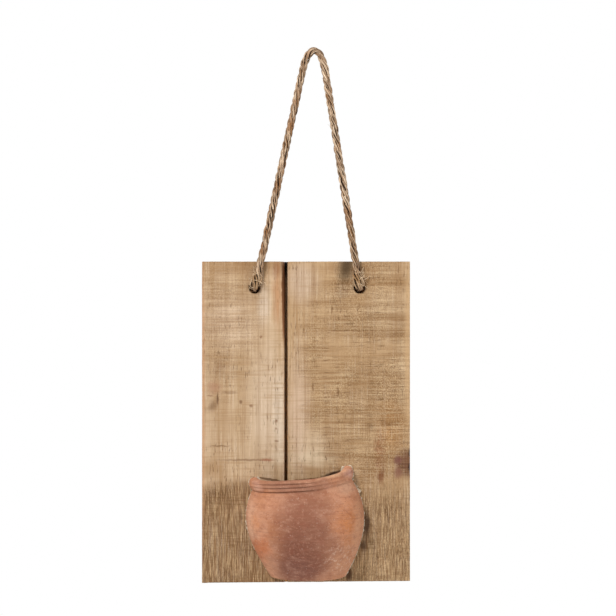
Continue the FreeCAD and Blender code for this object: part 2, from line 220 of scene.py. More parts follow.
def lay_patterns(tree, place, colour, patterns, front, depth):
    """Lays patterns over a colour; gives back the colour and the height of the surface. Each noise
    is read at a place of its own, by the pattern's number."""
    height = 0.0
    for number, pattern in enumerate(patterns):
        stretched = add(tree, "ShaderNodeMapping",
                        {"Vector": place, "Location": (7.3 * number, 3.1 * number, 5.7 * number),
                         "Scale": tuple(1 / size for size in pattern.size)})["Vector"]
        grain = add(tree, "ShaderNodeTexNoise", {"Vector": stretched, "Scale": 1.0, "Detail": 2.0})
        share = add(tree, "ShaderNodeMapRange",
                    {"Value": grain[0], "From Min": pattern.start, "From Max": pattern.full,
                     "To Max": pattern.amount})["Result"]
        if pattern.broken:
            spots = add(tree, "ShaderNodeTexNoise",
                        {"Vector": place, "W": 1.7 * number, "Scale": 1 / pattern.broken,
                         "Detail": 2.0}, noise_dimensions="4D")
            covered = add(tree, "ShaderNodeMapRange",
                          {"Value": spots[0], "From Min": SPOT_START, "From Max": SPOT_FULL})[0]
            share = add(tree, "ShaderNodeMath", {0: share, 1: covered}, operation="MULTIPLY")["Value"]
        if pattern.zone:
            inside = patch_mask(tree, place, pattern.zone, front, depth)
            share = add(tree, "ShaderNodeMath", {0: share, 1: inside}, operation="MULTIPLY")["Value"]
        colour = add(tree, "ShaderNodeMixRGB",
                     {"Fac": share, "Color1": colour, "Color2": linear(pattern.colour)})["Color"]
        if pattern.height:
            height = add(tree, "ShaderNodeMath", {0: share, 1: pattern.height, 2: height},
                         operation="MULTIPLY_ADD")["Value"]
    return colour, height


def shade(tree, colour, height, relief, constants):
    """Ends a material in one shader; relief is how many mm a height of 1 stands up."""
    bump = add(tree, "ShaderNodeBump", {"Height": height, "Distance": relief * MM})["Normal"]
    shader = add(tree, "ShaderNodeBsdfPrincipled",
                 {"Base Color": colour, "Normal": bump, **constants})["BSDF"]
    add(tree, "ShaderNodeOutputMaterial", {"Surface": shader})


# Rope: one length from knot to knot, three strands of six yarns laid left-handed.
LEFT_HOLE = -51.5
RIGHT_HOLE = 53.5
ROPE_Z = 55.7
# The rope's way up the board, over its top edge and round the hook, in metres.
ROPE_ROUTE = [
    (-0.0515, -0.0120, 0.0557),
    (-0.0515, -0.0340, 0.0552),
    (-0.0515, -0.0463, 0.0546),
    (-0.0486, -0.0463, 0.0680),
    (-0.0434, -0.0463, 0.0870),
    (-0.0337, -0.0391, 0.1334),
    (-0.0092, -0.0212, 0.2486),
    (0.0008, -0.0140, 0.2955),
    (0.0162, -0.0140, 0.2955),
    (0.0235, -0.0213, 0.2481),
    (0.0413, -0.0390, 0.1339),
    (0.0486, -0.0463, 0.0870),
    (0.0513, -0.0463, 0.0680),
    (0.0535, -0.0463, 0.0546),
    (0.0535, -0.0340, 0.0552),
    (0.0535, -0.0120, 0.0557),
]
KNOT_RADIUS = 7.6
KNOT_FRONT = -17.7
KNOT_PITCH = 7
# The free end's way into its knot, from the middle of the hole: outwards, depth and up.
KNOT_TAIL = ((4.5, -16.2, -23), (7.3, KNOT_FRONT, -11))
# Shares of the knot's radius, an eighth of a turn apart: a turn and a half, then in to the core.
KNOT_SHARES = [1] * 13 + [0.78, 0.42]
CORE_DEPTH = 1.2
RING_STEP = 1.0
STRANDS = 3
STRAND_PITCH = 24
STRAND_RADIUS = 1.55
YARNS = 6
YARN_PITCH = 21
YARN_RING = 1.6
YARN_RADIUS = 0.85
YARN_SIDES = 5
# Near the holes the strands spread: fully below SPREAD_LOW and not at all above SPREAD_HIGH.
SPREAD_LOW = 62
SPREAD_HIGH = 78
HOLE_FRONT = -44
FRAYED_END = 9
# How much further out strands and yarns stand where the rope is frayed, and how much wider and
# flatter it lies at the holes.
STRAND_FRAY = 0.12
YARN_FRAY = 0.5
HOLE_WIDER = 0.15
HOLE_FLATTER = 0.2
# Distances from the middle of a strand and of the rope over which the painted shade in their hollows
# lightens, and how much further out those lie where the rope is frayed.
STRAND_HOLLOW = (1.7, 2.4)
ROPE_HOLLOW = (1.3, 3.3)
STRAND_SWELL = 0.4
ROPE_SWELL = 0.25
# Loose fibres: the depth that bears them, how much denser and longer they are where the rope is
# frayed, the shortest one's share of the length, and how far they lean, in radians.
BEARING_DEPTH = 0.6
FRAY_DENSER = 3.5
FRAY_LONGER = 1.6
SHORTEST_FIBRE = 0.35
FIBRE_LEAN = 0.3


def knot_turns(hole, side):
    """A stopper knot from its cut end in: the free end, a turn and a half, and the way to the core."""
    points = [(hole + side * out, depth, ROPE_Z + up) for out, depth, up in KNOT_TAIL]
    for step, share in enumerate(KNOT_SHARES):
        angle = math.radians(45 * step)
        reach = KNOT_RADIUS * share
        depth = KNOT_FRONT + KNOT_PITCH * min(step, 12) / 8
        if share < 1:
            depth += CORE_DEPTH
        points.append((hole + side * reach * math.cos(angle), depth,
                       ROPE_Z + reach * math.sin(angle)))
    return [tuple(part * MM for part in point) for point in points]


def rope_line():
    """The rope's middle line, read from a NURBS curve through its route."""
    route = knot_turns(LEFT_HOLE, 1) + ROPE_ROUTE + knot_turns(RIGHT_HOLE, -1)[::-1]
    curve = bpy.data.curves.new("rope_route", "CURVE")
    curve.dimensions = "3D"
    curve.resolution_u = 16
    spline = curve.splines.new("NURBS")
    spline.points.add(len(route) - 1)
    for point, place in zip(spline.points, route):
        point.co = (*place, 1)
    spline.order_u = 3
    spline.use_endpoint_u = True
    carrier = bpy.data.objects.new("rope_route", curve)
    mesh = bpy.data.meshes.new_from_object(carrier)
    points = np.array([vertex.co for vertex in mesh.vertices]) / MM
    bpy.data.objects.remove(carrier)
    bpy.data.meshes.remove(mesh)
    bpy.data.curves.remove(curve)
    run = np.concatenate([[0], np.cumsum(np.linalg.norm(np.diff(points, axis=0), axis=1))])
    along = np.linspace(0, run[-1], round(run[-1] / RING_STEP) + 1)
    return np.stack([np.interp(along, run, points[:, axis]) for axis in range(3)], axis=1), along


def headings(line):
    """Unit vectors along a line."""
    steps = np.gradient(line, axis=0)
    return steps / np.linalg.norm(steps, axis=1)[:, None]


def sideways(heading):
    """A crosswise unit vector at each point, carried along without twisting."""
    across = np.empty_like(heading)
    across[0] = np.cross(heading[0], (0, 1, 0))
    for index in range(len(heading)):
        before = across[max(index - 1, 0)]
        flat = before - heading[index] * (before @ heading[index])
        across[index] = flat / np.linalg.norm(flat)
    return across


def smooth_step(value, low, high):
    """0 at low and 1 at high, with a smooth rise between them."""
    share = np.clip((value - low) / (high - low), 0, 1)
    return share * share * (3 - 2 * share)


def wander(along, size, seed):
    """A smooth random number, about -0.6 to 0.6, at each step of a length; size is in mm."""
    return np.array([noise.noise((step / size, seed, 0.5)) for step in along])


def wound(line, out, beside, turn, reach):
    """A line wound round another, at an angle from out towards beside, and its way outwards."""
    away = np.cos(turn)[:, None] * out + np.sin(turn)[:, None] * beside
    return line + away * reach[:, None], away


def yarn_tube(number, line, along, across, fray):
    """One yarn's rings of corners, and how far each lies from the middle of its strand. The lay of
    strands and yarns strays a little, over lengths of 8 to 24 mm."""
    strand, yarn = divmod(number, YARNS)
    turn = (2 * math.pi * (strand / STRANDS - along / STRAND_PITCH)
            + 0.6 * wander(along, 24, 7.1 * strand))
    reach = STRAND_RADIUS * (1 + 0.1 * wander(along, 17, 3.3 * strand) + STRAND_FRAY * fray)
    strand_line, out = wound(line, across, np.cross(headings(line), across), turn, reach)
    twist = 2 * math.pi * (yarn / YARNS + along / YARN_PITCH) + wander(along, 13, 5.7 * number)
    reach = YARN_RING * (1 + 0.2 * wander(along, 8, 2.9 * number) + YARN_FRAY * fray)
    beside = np.cross(headings(strand_line), out)
    yarn_line, away = wound(strand_line, out, beside, twist, reach)
    round_it = np.cross(headings(yarn_line), away)
    angles = 2 * math.pi * np.arange(YARN_SIDES) / YARN_SIDES
    tube = yarn_line[:, None] + YARN_RADIUS * (np.cos(angles)[None, :, None] * away[:, None]
                                               + np.sin(angles)[None, :, None] * round_it[:, None])
    return tube, np.linalg.norm(tube - strand_line[:, None], axis=2)


def tube_faces(number, along):
    """One tube's faces with a cap at each end, and their corners' fibre coordinates: how far along
    the rope, and the tube's number with the share of its girth."""
    rings = len(along)
    first = number * rings * YARN_SIDES
    faces, fibre_run = [], []
    for index in range(rings - 1):
        low = first + index * YARN_SIDES
        for side in range(YARN_SIDES):
            after = (side + 1) % YARN_SIDES
            faces.append((low + side, low + after, low + YARN_SIDES + after, low + YARN_SIDES + side))
            for step, edge in ((0, side), (0, side + 1), (1, side + 1), (1, side)):
                fibre_run.append((along[index + step], number + edge / YARN_SIDES))
    last = first + (rings - 1) * YARN_SIDES
    faces.append(tuple(range(first + YARN_SIDES - 1, first - 1, -1)))
    faces.append(tuple(range(last, last + YARN_SIDES)))
    fibre_run += [(0, 0)] * (2 * YARN_SIDES)
    return faces, fibre_run


def rope_mesh(line, along):
    """Eighteen yarn tubes, with fibre coordinates and what their finish reads: depth, tone and fray."""
    across = sideways(headings(line))
    at_hole = (smooth_step(line[:, 2], SPREAD_HIGH, SPREAD_LOW)
               * smooth_step(-line[:, 1], -HOLE_FRONT, 1.5 - HOLE_FRONT))
    at_end = np.maximum(smooth_step(along, FRAYED_END, 0),
                        smooth_step(along, along[-1] - FRAYED_END, along[-1]))
    fray = np.maximum(at_hole, at_end)
    tubes, shades, tones, faces, fibre_run = [], [], [], [], []
    for number in range(STRANDS * YARNS):
        tube, from_strand = yarn_tube(number, line, along, across, fray)
        tubes.append(tube)
        shades.append(smooth_step(from_strand / (1 + STRAND_SWELL * fray[:, None]), *STRAND_HOLLOW))
        tones.append(0.5 + 0.8 * np.repeat(wander(along, 30, 4.1 * number), YARN_SIDES))
        tube_sides, tube_run = tube_faces(number, along)
        faces += tube_sides
        fibre_run += tube_run
    offsets = np.stack(tubes) - line[None, :, None, :]
    from_middle = np.linalg.norm(offsets, axis=3) / (1 + ROPE_SWELL * fray[None, :, None])
    depth = smooth_step(from_middle, *ROPE_HOLLOW) * (0.3 + 0.7 * np.stack(shades))
    offsets[..., 0] *= 1 + HOLE_WIDER * at_hole[None, :, None]
    offsets[..., 1] *= 1 - HOLE_FLATTER * at_hole[None, :, None]
    mesh = bpy.data.meshes.new("jute_rope")
    mesh.from_pydata(((offsets + line[None, :, None, :]) * MM).reshape(-1, 3), [], faces)
    layer = mesh.uv_layers.new(name="fibre_run")
    layer.data.foreach_set("uv", np.array(fibre_run, np.float32).ravel())
    everywhere = np.tile(np.repeat(fray, YARN_SIDES), STRANDS * YARNS)
    for name, values in (("depth", depth.ravel()), ("tone", np.concatenate(tones)),
                         ("fray", everywhere)):
        attribute = mesh.attributes.new(name, "FLOAT", "POINT")
        attribute.data.foreach_set("value", values.astype(np.float32))
    return mesh


def jute():
    """Jute rope, spun and laid from dry bast fibre: matt straw yarns that differ in tone along their
    length, with fine fibre streaks and near-black hollows between the strands."""
    material, tree, place = new_finish("jute_yarn")
    run = add(tree, "ShaderNodeUVMap", uv_map="fibre_run")["UV"]
    tone = add(tree, "ShaderNodeAttribute", attribute_name="tone")["Fac"]
    depth = add(tree, "ShaderNodeAttribute", attribute_name="depth")["Fac"]
    fray = add(tree, "ShaderNodeAttribute", attribute_name="fray")["Fac"]
    colour = add(tree, "ShaderNodeMixRGB",
                 {"Fac": tone, "Color1": linear("#8E6640"), "Color2": linear("#FFE4C4")})["Color"]
    # stretches of rusty and of greyed fibre, about 16 mm long
    colour, _ = lay_patterns(tree, place, colour, [
        Pattern((16, 16, 16), 0.5, 0.66, "#A87040", 0.55),
        Pattern((13, 13, 13), 0.52, 0.68, "#A48E78", 0.45),
        Pattern((3, 3, 9), 0.56, 0.7, "#5C3E26", 0.6)], 0, 1)
    # fibre streaks 7 mm long and a fifth of the yarn's girth wide, coarser than real so that they show
    spread = add(tree, "ShaderNodeMapping", {"Vector": run, "Scale": (1 / 7, 5, 1)})["Vector"]
    streak = add(tree, "ShaderNodeTexNoise", {"Vector": spread, "Scale": 1.0, "Detail": 2.0})[0]
    dark = add(tree, "ShaderNodeMapRange", {"Value": streak, "From Min": 0.42, "From Max": 0.68,
                                            "To Max": 0.8})["Result"]
    colour = add(tree, "ShaderNodeMixRGB",
                 {"Fac": dark, "Color1": colour, "Color2": linear("#66452A")})["Color"]
    colour = add(tree, "ShaderNodeMixRGB",
                 {"Fac": add(tree, "ShaderNodeMath", {0: fray, 1: 0.35}, operation="MULTIPLY")[0],
                  "Color1": colour, "Color2": linear("#DDB380")})["Color"]
    # painted shade: the deeper a point lies in the rope, the nearer its colour comes to a near-black
    # brown
    hollow_shade = add(tree, "ShaderNodeMapRange", {"Value": depth, "From Min": 0.9, "From Max": 0.12,
                                              "To Max": 0.97})["Result"]
    colour = add(tree, "ShaderNodeMixRGB",
                 {"Fac": hollow_shade, "Color1": colour, "Color2": linear("#341C08")})["Color"]
    shade(tree, colour, streak, 0.12, {"Roughness": 0.92, "Specular IOR Level": 0.2})
    return material


def loose_fibre():
    """Loose jute fibre ends: thin dry hairs, paler than the yarns that they stand out of."""
    material, tree, place = new_finish("jute_fibre")
    colour, height = lay_patterns(tree, place, linear("#E2C9A8"), [
        Pattern((2, 2, 2), 0.45, 0.65, "#9C7A55", 0.8, 1)], 0, 1)
    shade(tree, colour, height, 0.02, {"Roughness": 0.9, "Specular IOR Level": 0.2})
    return material


def loose_fibres_tree():
    """Hairs that stand out of the yarns' outer sides, longer and denser where the rope is frayed."""
    tree = new_tree("loose_fibres", {"Fibres per square metre": "Float", "Fibre length": "Float",
                                     "Fibre radius": "Float", "Share on sound rope": "Float",
                                     "Seed": "Int", "Material": "Material"})
    sizes = add(tree, "NodeGroupInput")
    depth = add(tree, "GeometryNodeInputNamedAttribute", {"Name": "depth"}, data_type="FLOAT")[0]
    fray = add(tree, "GeometryNodeInputNamedAttribute", {"Name": "fray"}, data_type="FLOAT")[0]
    outer = add(tree, "FunctionNodeCompare", {0: depth, 1: BEARING_DEPTH},
                operation="GREATER_THAN")[0]
    extra = add(tree, "ShaderNodeMath", {0: fray, 1: FRAY_DENSER, 2: sizes["Share on sound rope"]},
                operation="MULTIPLY_ADD")[0]
    density = add(tree, "ShaderNodeMath", {0: sizes["Fibres per square metre"], 1: extra},
                  operation="MULTIPLY")[0]
    roots = add(tree, "GeometryNodeDistributePointsOnFaces",
                {"Mesh": sizes["Geometry"], "Selection": outer, "Density": density,
                 "Seed": sizes["Seed"]})
    hair = add(tree, "GeometryNodeCurveQuadraticBezier",
               {"Resolution": 5, "Start": (0, 0, -0.1), "Middle": (0.25, 0.05, 0.55),
                "End": (0.95, -0.1, 0.6)})["Curve"]
    hair = add(tree, "GeometryNodeTransform", {"Geometry": hair, "Scale": add(
        tree, "ShaderNodeCombineXYZ", {axis: sizes["Fibre length"] for axis in "XYZ"})[0]})[0]
    girth = add(tree, "GeometryNodeCurvePrimitiveCircle",
                {"Resolution": 3, "Radius": sizes["Fibre radius"]})["Curve"]
    hair = add(tree, "GeometryNodeCurveToMesh",
               {"Curve": hair, "Profile Curve": girth, "Fill Caps": True})["Mesh"]
    spin = add(tree, "FunctionNodeRandomValue",
               {"Min": (-FIBRE_LEAN, -FIBRE_LEAN, 0), "Max": (FIBRE_LEAN, FIBRE_LEAN, math.tau),
                "Seed": sizes["Seed"]}, data_type="FLOAT_VECTOR")[0]
    aim = add(tree, "FunctionNodeRotateRotation",
              {"Rotation": roots["Rotation"],
               "Rotate By": add(tree, "FunctionNodeEulerToRotation", {"Euler": spin})[0]},
              rotation_space="LOCAL")[0]
    long = add(tree, "FunctionNodeRandomValue", {2: SHORTEST_FIBRE, 3: 1.0, "Seed": sizes["Seed"]},
               data_type="FLOAT")[1]
    stretch = add(tree, "ShaderNodeMath", {0: fray, 1: FRAY_LONGER, 2: 1.0},
                  operation="MULTIPLY_ADD")[0]
    long = add(tree, "ShaderNodeMath", {0: long, 1: stretch}, operation="MULTIPLY")[0]
    hairs = add(tree, "GeometryNodeInstanceOnPoints",
                {"Points": roots["Points"], "Instance": hair, "Rotation": aim, "Scale": long})[0]
    return end_tree(tree, hairs, sizes["Material"])


line, along = rope_line()
rope = new_piece("jute_rope", rope_mesh(line, along), jute())
fibres = new_piece("rope_fibres", rope.data.copy())
tufts = new_piece("frayed_yarns", rope.data.copy())
loose_fibres = loose_fibres_tree()
hair = loose_fibre()
run_tree(fibres, loose_fibres, {
    "Fibres per square metre": 14000.0, "Fibre length": 3.2 * MM, "Fibre radius": 0.08 * MM,
    "Share on sound rope": 1.0, "Seed": 4, "Material": hair})
run_tree(tufts, loose_fibres, {
    "Fibres per square metre": 22000.0, "Fibre length": 3.4 * MM, "Fibre radius": 0.16 * MM,
    "Share on sound rope": 0.0, "Seed": 8, "Material": hair})
# the rope's pieces keep their placement in their own meshes, and the CAD rope and knots are hidden
for piece in (rope, fibres, tufts):
    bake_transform(piece)
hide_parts("rope_loop", "left_rope_end", "right_rope_end", "left_knot", "right_knot")


# Boards: sawn planks and battens, remeshed from the solids and roughened.
PLANK_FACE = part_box("right_plank")[0].y / MM
PLANK_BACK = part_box("right_plank")[1].y / MM
JOINT_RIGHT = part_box("right_plank")[0].x / MM
JOINT_WIDTH = 3
BOARD_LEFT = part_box("left_plank")[0].x / MM
PLANK_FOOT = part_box("left_plank")[0].z / MM
FOOT_BAND = 5
FOOT_SLOPE = 0.009
# The lap behind the joint: its front, how far it is let into the other plank, the height below
# which its front slopes forward, and its front at the foot.
LAP_FRONT = -26
LAP_LET_IN = 1.2
LAP_BEND = -150
LAP_FOOT_FRONT = -40
PLANK_VOXEL = 1.05
BATTEN_VOXEL = 0.9
SAW_MARK = Vector((60, 60, 3.2)) * MM
TORN_FIBRE = Vector((2.4, 2.4, 45)) * MM
SAWN_DEPTH = 0.4
# How deep tones and painted light, patterns, and stains and painted shade sink in from the planks'
# face.
TONE_AND_LIGHT_DEPTH = 26
PATTERN_DEPTH = 15
STAIN_AND_SHADE_DEPTH = 20.5
# Growth rings; a wave's own period is 0.314.
RING_SPACING = 4
WAVE_PERIOD = 0.314


def rough_sawn_tree():
    """Saw marks across a board and torn fibre along it, pushed in and out of its faces."""
    tree = new_tree("rough_sawn", {"Saw mark size": "Vector", "Saw mark depth": "Float",
                                   "Fibre size": "Vector", "Fibre depth": "Float",
                                   "Seed": "Int", "Material": "Material"})
    sizes = add(tree, "NodeGroupInput")
    position = add(tree, "GeometryNodeInputPosition")["Position"]
    relief = 0.0
    for size, depth in (("Saw mark size", "Saw mark depth"), ("Fibre size", "Fibre depth")):
        scaled = add(tree, "ShaderNodeVectorMath", {0: position, 1: sizes[size]},
                     operation="DIVIDE")[0]
        grain = add(tree, "ShaderNodeTexNoise",
                    {"Vector": scaled, "W": sizes["Seed"], "Scale": 1.0, "Detail": 2.0},
                    noise_dimensions="4D")[0]
        centred = add(tree, "ShaderNodeMath", {0: grain, 1: 0.5}, operation="SUBTRACT")[0]
        relief = add(tree, "ShaderNodeMath", {0: centred, 1: sizes[depth], 2: relief},
                     operation="MULTIPLY_ADD")[0]
    push = add(tree, "ShaderNodeVectorMath",
               {0: add(tree, "GeometryNodeInputNormal")["Normal"], "Scale": relief},
               operation="SCALE")["Vector"]
    moved = add(tree, "GeometryNodeSetPosition", {"Geometry": sizes["Geometry"], "Offset": push})
    return end_tree(tree, moved["Geometry"], sizes["Material"])


def sawn_board(name, node, voxel, material, seed, lying=False):
    """A board with the shape of its CAD node and a rough-sawn surface, its grain upright or lying."""
    mesh = merged_copy(node, LAP_BEND)
    if not lying:
        # the planks' feet are sawn out of square
        for vertex in mesh.vertices:
            if vertex.co.z < (PLANK_FOOT + FOOT_BAND) * MM:
                vertex.co.z = PLANK_FOOT * MM + (vertex.co.x - BOARD_LEFT * MM) * FOOT_SLOPE
    if node == "left_plank":
        # the lap behind the joint is let into the other plank, so that no light comes through,
        # and behind the pot its front slopes forward to the foot
        for vertex in mesh.vertices:
            if vertex.co.x / MM > JOINT_RIGHT - JOINT_WIDTH + 1:
                vertex.co.x += LAP_LET_IN * MM
            on_lap_front = abs(vertex.co.y / MM - LAP_FRONT) < 1
            if on_lap_front and vertex.co.z / MM < PLANK_FOOT + FOOT_BAND:
                vertex.co.y = LAP_FOOT_FRONT * MM
    board = new_piece(name, mesh)
    voxel_remesh(board, voxel)
    run_tree(board, rough_sawn, {
        "Saw mark size": SAW_MARK.zyx if lying else SAW_MARK, "Saw mark depth": SAWN_DEPTH * MM,
        "Fibre size": TORN_FIBRE.zyx if lying else TORN_FIBRE, "Fibre depth": SAWN_DEPTH * MM,
        "Seed": seed, "Material": material})
    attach(board, "planter")
    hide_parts(node)
    return board


def sawn_wood(name, pale, dark, patterns, tones, stains_and_shade, pith, lying=False, joint_shade_and_seam=()):
    """Rough-sawn softwood, aged: matt tan boards with growth rings round a pith, lengthwise fibre,
    crosswise saw marks, stains that soaked in from the front, dirt in the joint, and greyer rings on
    the cut ends."""
    material, tree, place = new_finish(name)
    facing = add(tree, "ShaderNodeTexCoord")["Normal"]
    if lying:
        quarter_turn = (0, math.radians(90), 0)
        place = add(tree, "ShaderNodeMapping", {"Vector": place, "Rotation": quarter_turn})["Vector"]
        facing = add(tree, "ShaderNodeMapping", {"Vector": facing, "Rotation": quarter_turn})["Vector"]
    warped = ragged(tree, place, 18, (6, 0, 12))
    streaks = add(tree, "ShaderNodeMapping", {"Vector": place, "Scale": (1 / 14, 1 / 14, 1 / 240)})
    tone = add(tree, "ShaderNodeTexNoise", {"Vector": streaks[0], "Scale": 1.0, "Detail": 3.0})[0]
    share = add(tree, "ShaderNodeMapRange", {"Value": tone, "From Min": 0.32, "From Max": 0.68})[0]
    colour = add(tree, "ShaderNodeMixRGB",
                 {"Fac": share, "Color1": linear(dark), "Color2": linear(pale)})["Color"]
    # tones, with painted light where the pot shades the board
    colour = lay_patches(tree, warped, colour, tones, PLANK_FACE, TONE_AND_LIGHT_DEPTH)
    centred = add(tree, "ShaderNodeMapping",
                  {"Vector": place, "Location": (*(-part for part in pith), 0),
                   "Scale": (1, 1, 0.04)})["Vector"]
    rings = add(tree, "ShaderNodeTexWave",
                {"Vector": centred, "Scale": WAVE_PERIOD / RING_SPACING, "Distortion": 2.5,
                 "Detail": 2.0, "Detail Scale": 1.2},
                wave_type="RINGS", rings_direction="Z")["Fac"]
    late = add(tree, "ShaderNodeMapRange", {"Value": rings, "From Min": 0.55, "From Max": 1.0,
                                            "To Max": 0.16})["Result"]
    colour = add(tree, "ShaderNodeMixRGB",
                 {"Fac": late, "Color1": colour, "Color2": linear("#8A6440")})["Color"]
    colour, height = lay_patterns(tree, place, colour, patterns, PLANK_FACE, PATTERN_DEPTH)
    frayed = ragged(tree, place, 4, (2.4, 0, 2.4))
    # stains, with painted shade in the pot's mouth and the pot's painted shadow on the board
    colour = lay_patches(tree, frayed, colour, stains_and_shade, PLANK_FACE, STAIN_AND_SHADE_DEPTH)
    # painted shade in the top of the joint, and a dark line in the seam on the back
    for patch, front, depth in joint_shade_and_seam:
        colour = lay_patches(tree, place, colour, [patch], front, depth)
    # cut ends face along the grain
    along_grain = add(tree, "ShaderNodeSeparateXYZ", {0: facing})["Z"]
    ends = add(tree, "ShaderNodeMapRange",
               {"Value": add(tree, "ShaderNodeMath", {0: along_grain}, operation="ABSOLUTE")[0],
                "From Min": 0.6, "From Max": 0.9})["Result"]
    end_tone = add(tree, "ShaderNodeMixRGB", {"Fac": rings, "Color1": linear("#B08E68"),
                                              "Color2": linear("#7E5F40")})["Color"]
    colour = add(tree, "ShaderNodeMixRGB",
                 {"Fac": ends, "Color1": colour, "Color2": end_tone})["Color"]
    shade(tree, colour, height, 0.35, {"Roughness": 0.88, "Specular IOR Level": 0.25})
    return material


def board_patterns(saw, saw_zone=None):
    """Fibre all over, and saw marks of a given strength in one zone or all over. Real fibre is finer:
    it is drawn about 1 mm wide, so that it shows."""
    return [
        Pattern((2.6, 7, 160), 0.5, 0.72, "#96704A", 0.3),
        Pattern((1.1, 1.1, 60), 0.48, 0.68, "#80592F", 0.4, -0.5, None, 30),
        Pattern((1.2, 1.2, 50), 0.5, 0.68, "#EAD4BA", 0.35, 0.5, None, 24),
        Pattern((150, 150, 9), 0.46, 0.66, "#80592F", 0.65 * saw, 0, saw_zone),
        Pattern((90, 90, 1.8), 0.48, 0.64, "#74502C", 0.5 * saw, -0.7, saw_zone, 30),
        Pattern((0.8, 0.8, 1.6), 0.46, 0.62, "#74502C", 0.6 * saw, -0.5, saw_zone, 25),
        Pattern((45, 45, 1.2), 0.5, 0.64, "#6E4A28", 0.5 * saw, -0.6, saw_zone, 20),
        Pattern((60, 60, 1.4), 0.5, 0.66, "#DCC09A", 0.4 * saw, 0.5, saw_zone, 24),
        Pattern((0.8, 0.8, 1.3), 0.48, 0.64, "#E2C49A", 0.5 * saw, 0.5, saw_zone, 28),
        Pattern((11, 11, 1.2), 0.58, 0.7, "#5E3F22", 0.5 * saw, -0.6, saw_zone),
        Pattern((1.3, 1.3, 7), 0.6, 0.7, "#5E3F22", 0.6, -0.6, None, 40),
        Pattern((40, 40, 2), 0.48, 0.64, "#A07C54", 0.4, 0.3, None, 20),
    ]


def foot_patterns(zone):
    """Torn streaks along the grain of a rough-sawn foot, and a few saw marks across it."""
    return [
        Pattern((0.5, 0.5, 22), 0.44, 0.6, "#5E3E22", 0.7, -0.6, zone),
        Pattern((0.5, 0.5, 13), 0.48, 0.64, "#E2C094", 0.62, 0.6, zone),
        Pattern((0.6, 0.6, 2), 0.48, 0.64, "#54361E", 0.5, -0.6, zone, 40),
        Pattern((14, 14, 1.2), 0.48, 0.64, "#74502C", 0.4, -0.4, zone, 24),
    ]


LEFT_TONES_AND_LIGHT = [
    # darker, rough-sawn foot of the plank, and a darker top
    Patch(-62, -262, 130, 130, "#8C6844", 0.85, 0, 0.12),
    Patch(-62, 86, 80, 26, "#9A744C", 0.85),
    # pale upper part and middle, and rusty strip by the joint
    Patch(-78, 20, 46, 36, "#DEC4AA", 0.6),
    Patch(-40, -62, 24, 90, "#D0B89E", 0.75),
    Patch(-28.5, 46, 8, 42, "#B98A62", 0.85),
    # brown places by the outer edge, pale strips along the joint, its rusty top, and painted light just
    # above the pot's rim, where the pot shades the board
    Patch(-86, -26, 9, 16, "#86664B", 0.6, 10),
    Patch(-27, -72, 9, 64, "#DCCAB4", 0.6),
    Patch(-95, -126, 16, 16, "#A07C54", 0.6),
    Patch(-29, 74, 7, 14, "#8A5A38", 0.7),
    Patch(-43, 38, 10, 28, "#DCCAB6", 0.6),
    # painted light just above the rim, where the pot shades the board
    Patch(-26, -114, 12, 12, "#E0CCB0", 0.5),
]
LEFT_STAINS_AND_SHADE = [
    # bark-brown wane, painted shade darkening the top of the gap, painted light on the joint's sides, a
    # pale orange that lifts the deep gap's shade to brown, and rusty outer edge
    Patch(-21.8, 46, 3.2, 56, "#7A4A28", 0.85, 0, 0.4),
    # painted shade darkening the top of the gap
    Patch(-18, 88, 2.6, 46, "#1C0E06", 0.95, 0, 0.4),
    # painted light on the joint's side, lifting the gap's shade
    Patch(-20, -80, 1.6, 260, "#E4A864", 1, 0, 0.3),
    Patch(-105, -60, 5.5, 230, "#C08A60", 0.5, 0, 0.6),
    # rusty stain by the outer edge, with a dark crack and a brown fan under it
    Patch(-92, -45, 11, 10, "#A2745A", 0.55, 0, 0.9),
    Patch(-96, -53, 5, 1.2, "#7A5238", 0.6),
    Patch(-88.5, -56, 1.6, 9, "#5E3E2A", 0.8),
    Patch(-93.5, -63.5, 6.5, 10, "#745438", 0.65, 35, 0.95),
    Patch(-76, -50, 12, 2.2, "#7E5E40", 0.5),
    # small spots
    Patch(-45, 5.5, 1.8, 2.2, "#7A5232", 0.7),
    Patch(-65, -59.5, 2.4, 3, "#6E4A2C", 0.75),
    Patch(-55, -63.5, 2.6, 2.2, "#7A5232", 0.65),
    Patch(-29.5, -78.5, 2.4, 2.2, "#7A5232", 0.7),
    Patch(-30, -86, 2, 2.2, "#7A5232", 0.55),
    Patch(-29.5, -98.5, 3, 1.8, "#7A5232", 0.6),
    # painted shade in the pot's mouth, where the board shows above the rim, and scratches across the
    # grain
    Patch(-36, -137, 22, 1.6, "#553419", 0.8, 9, 0.6),
    Patch(-86, -103.5, 15, 1.3, "#7A5A3C", 0.75),
    Patch(-60, -117.5, 42, 1.7, "#7E5F42", 0.65),
    Patch(-39, -117.5, 9, 2.2, "#9C5F45", 0.6),
]
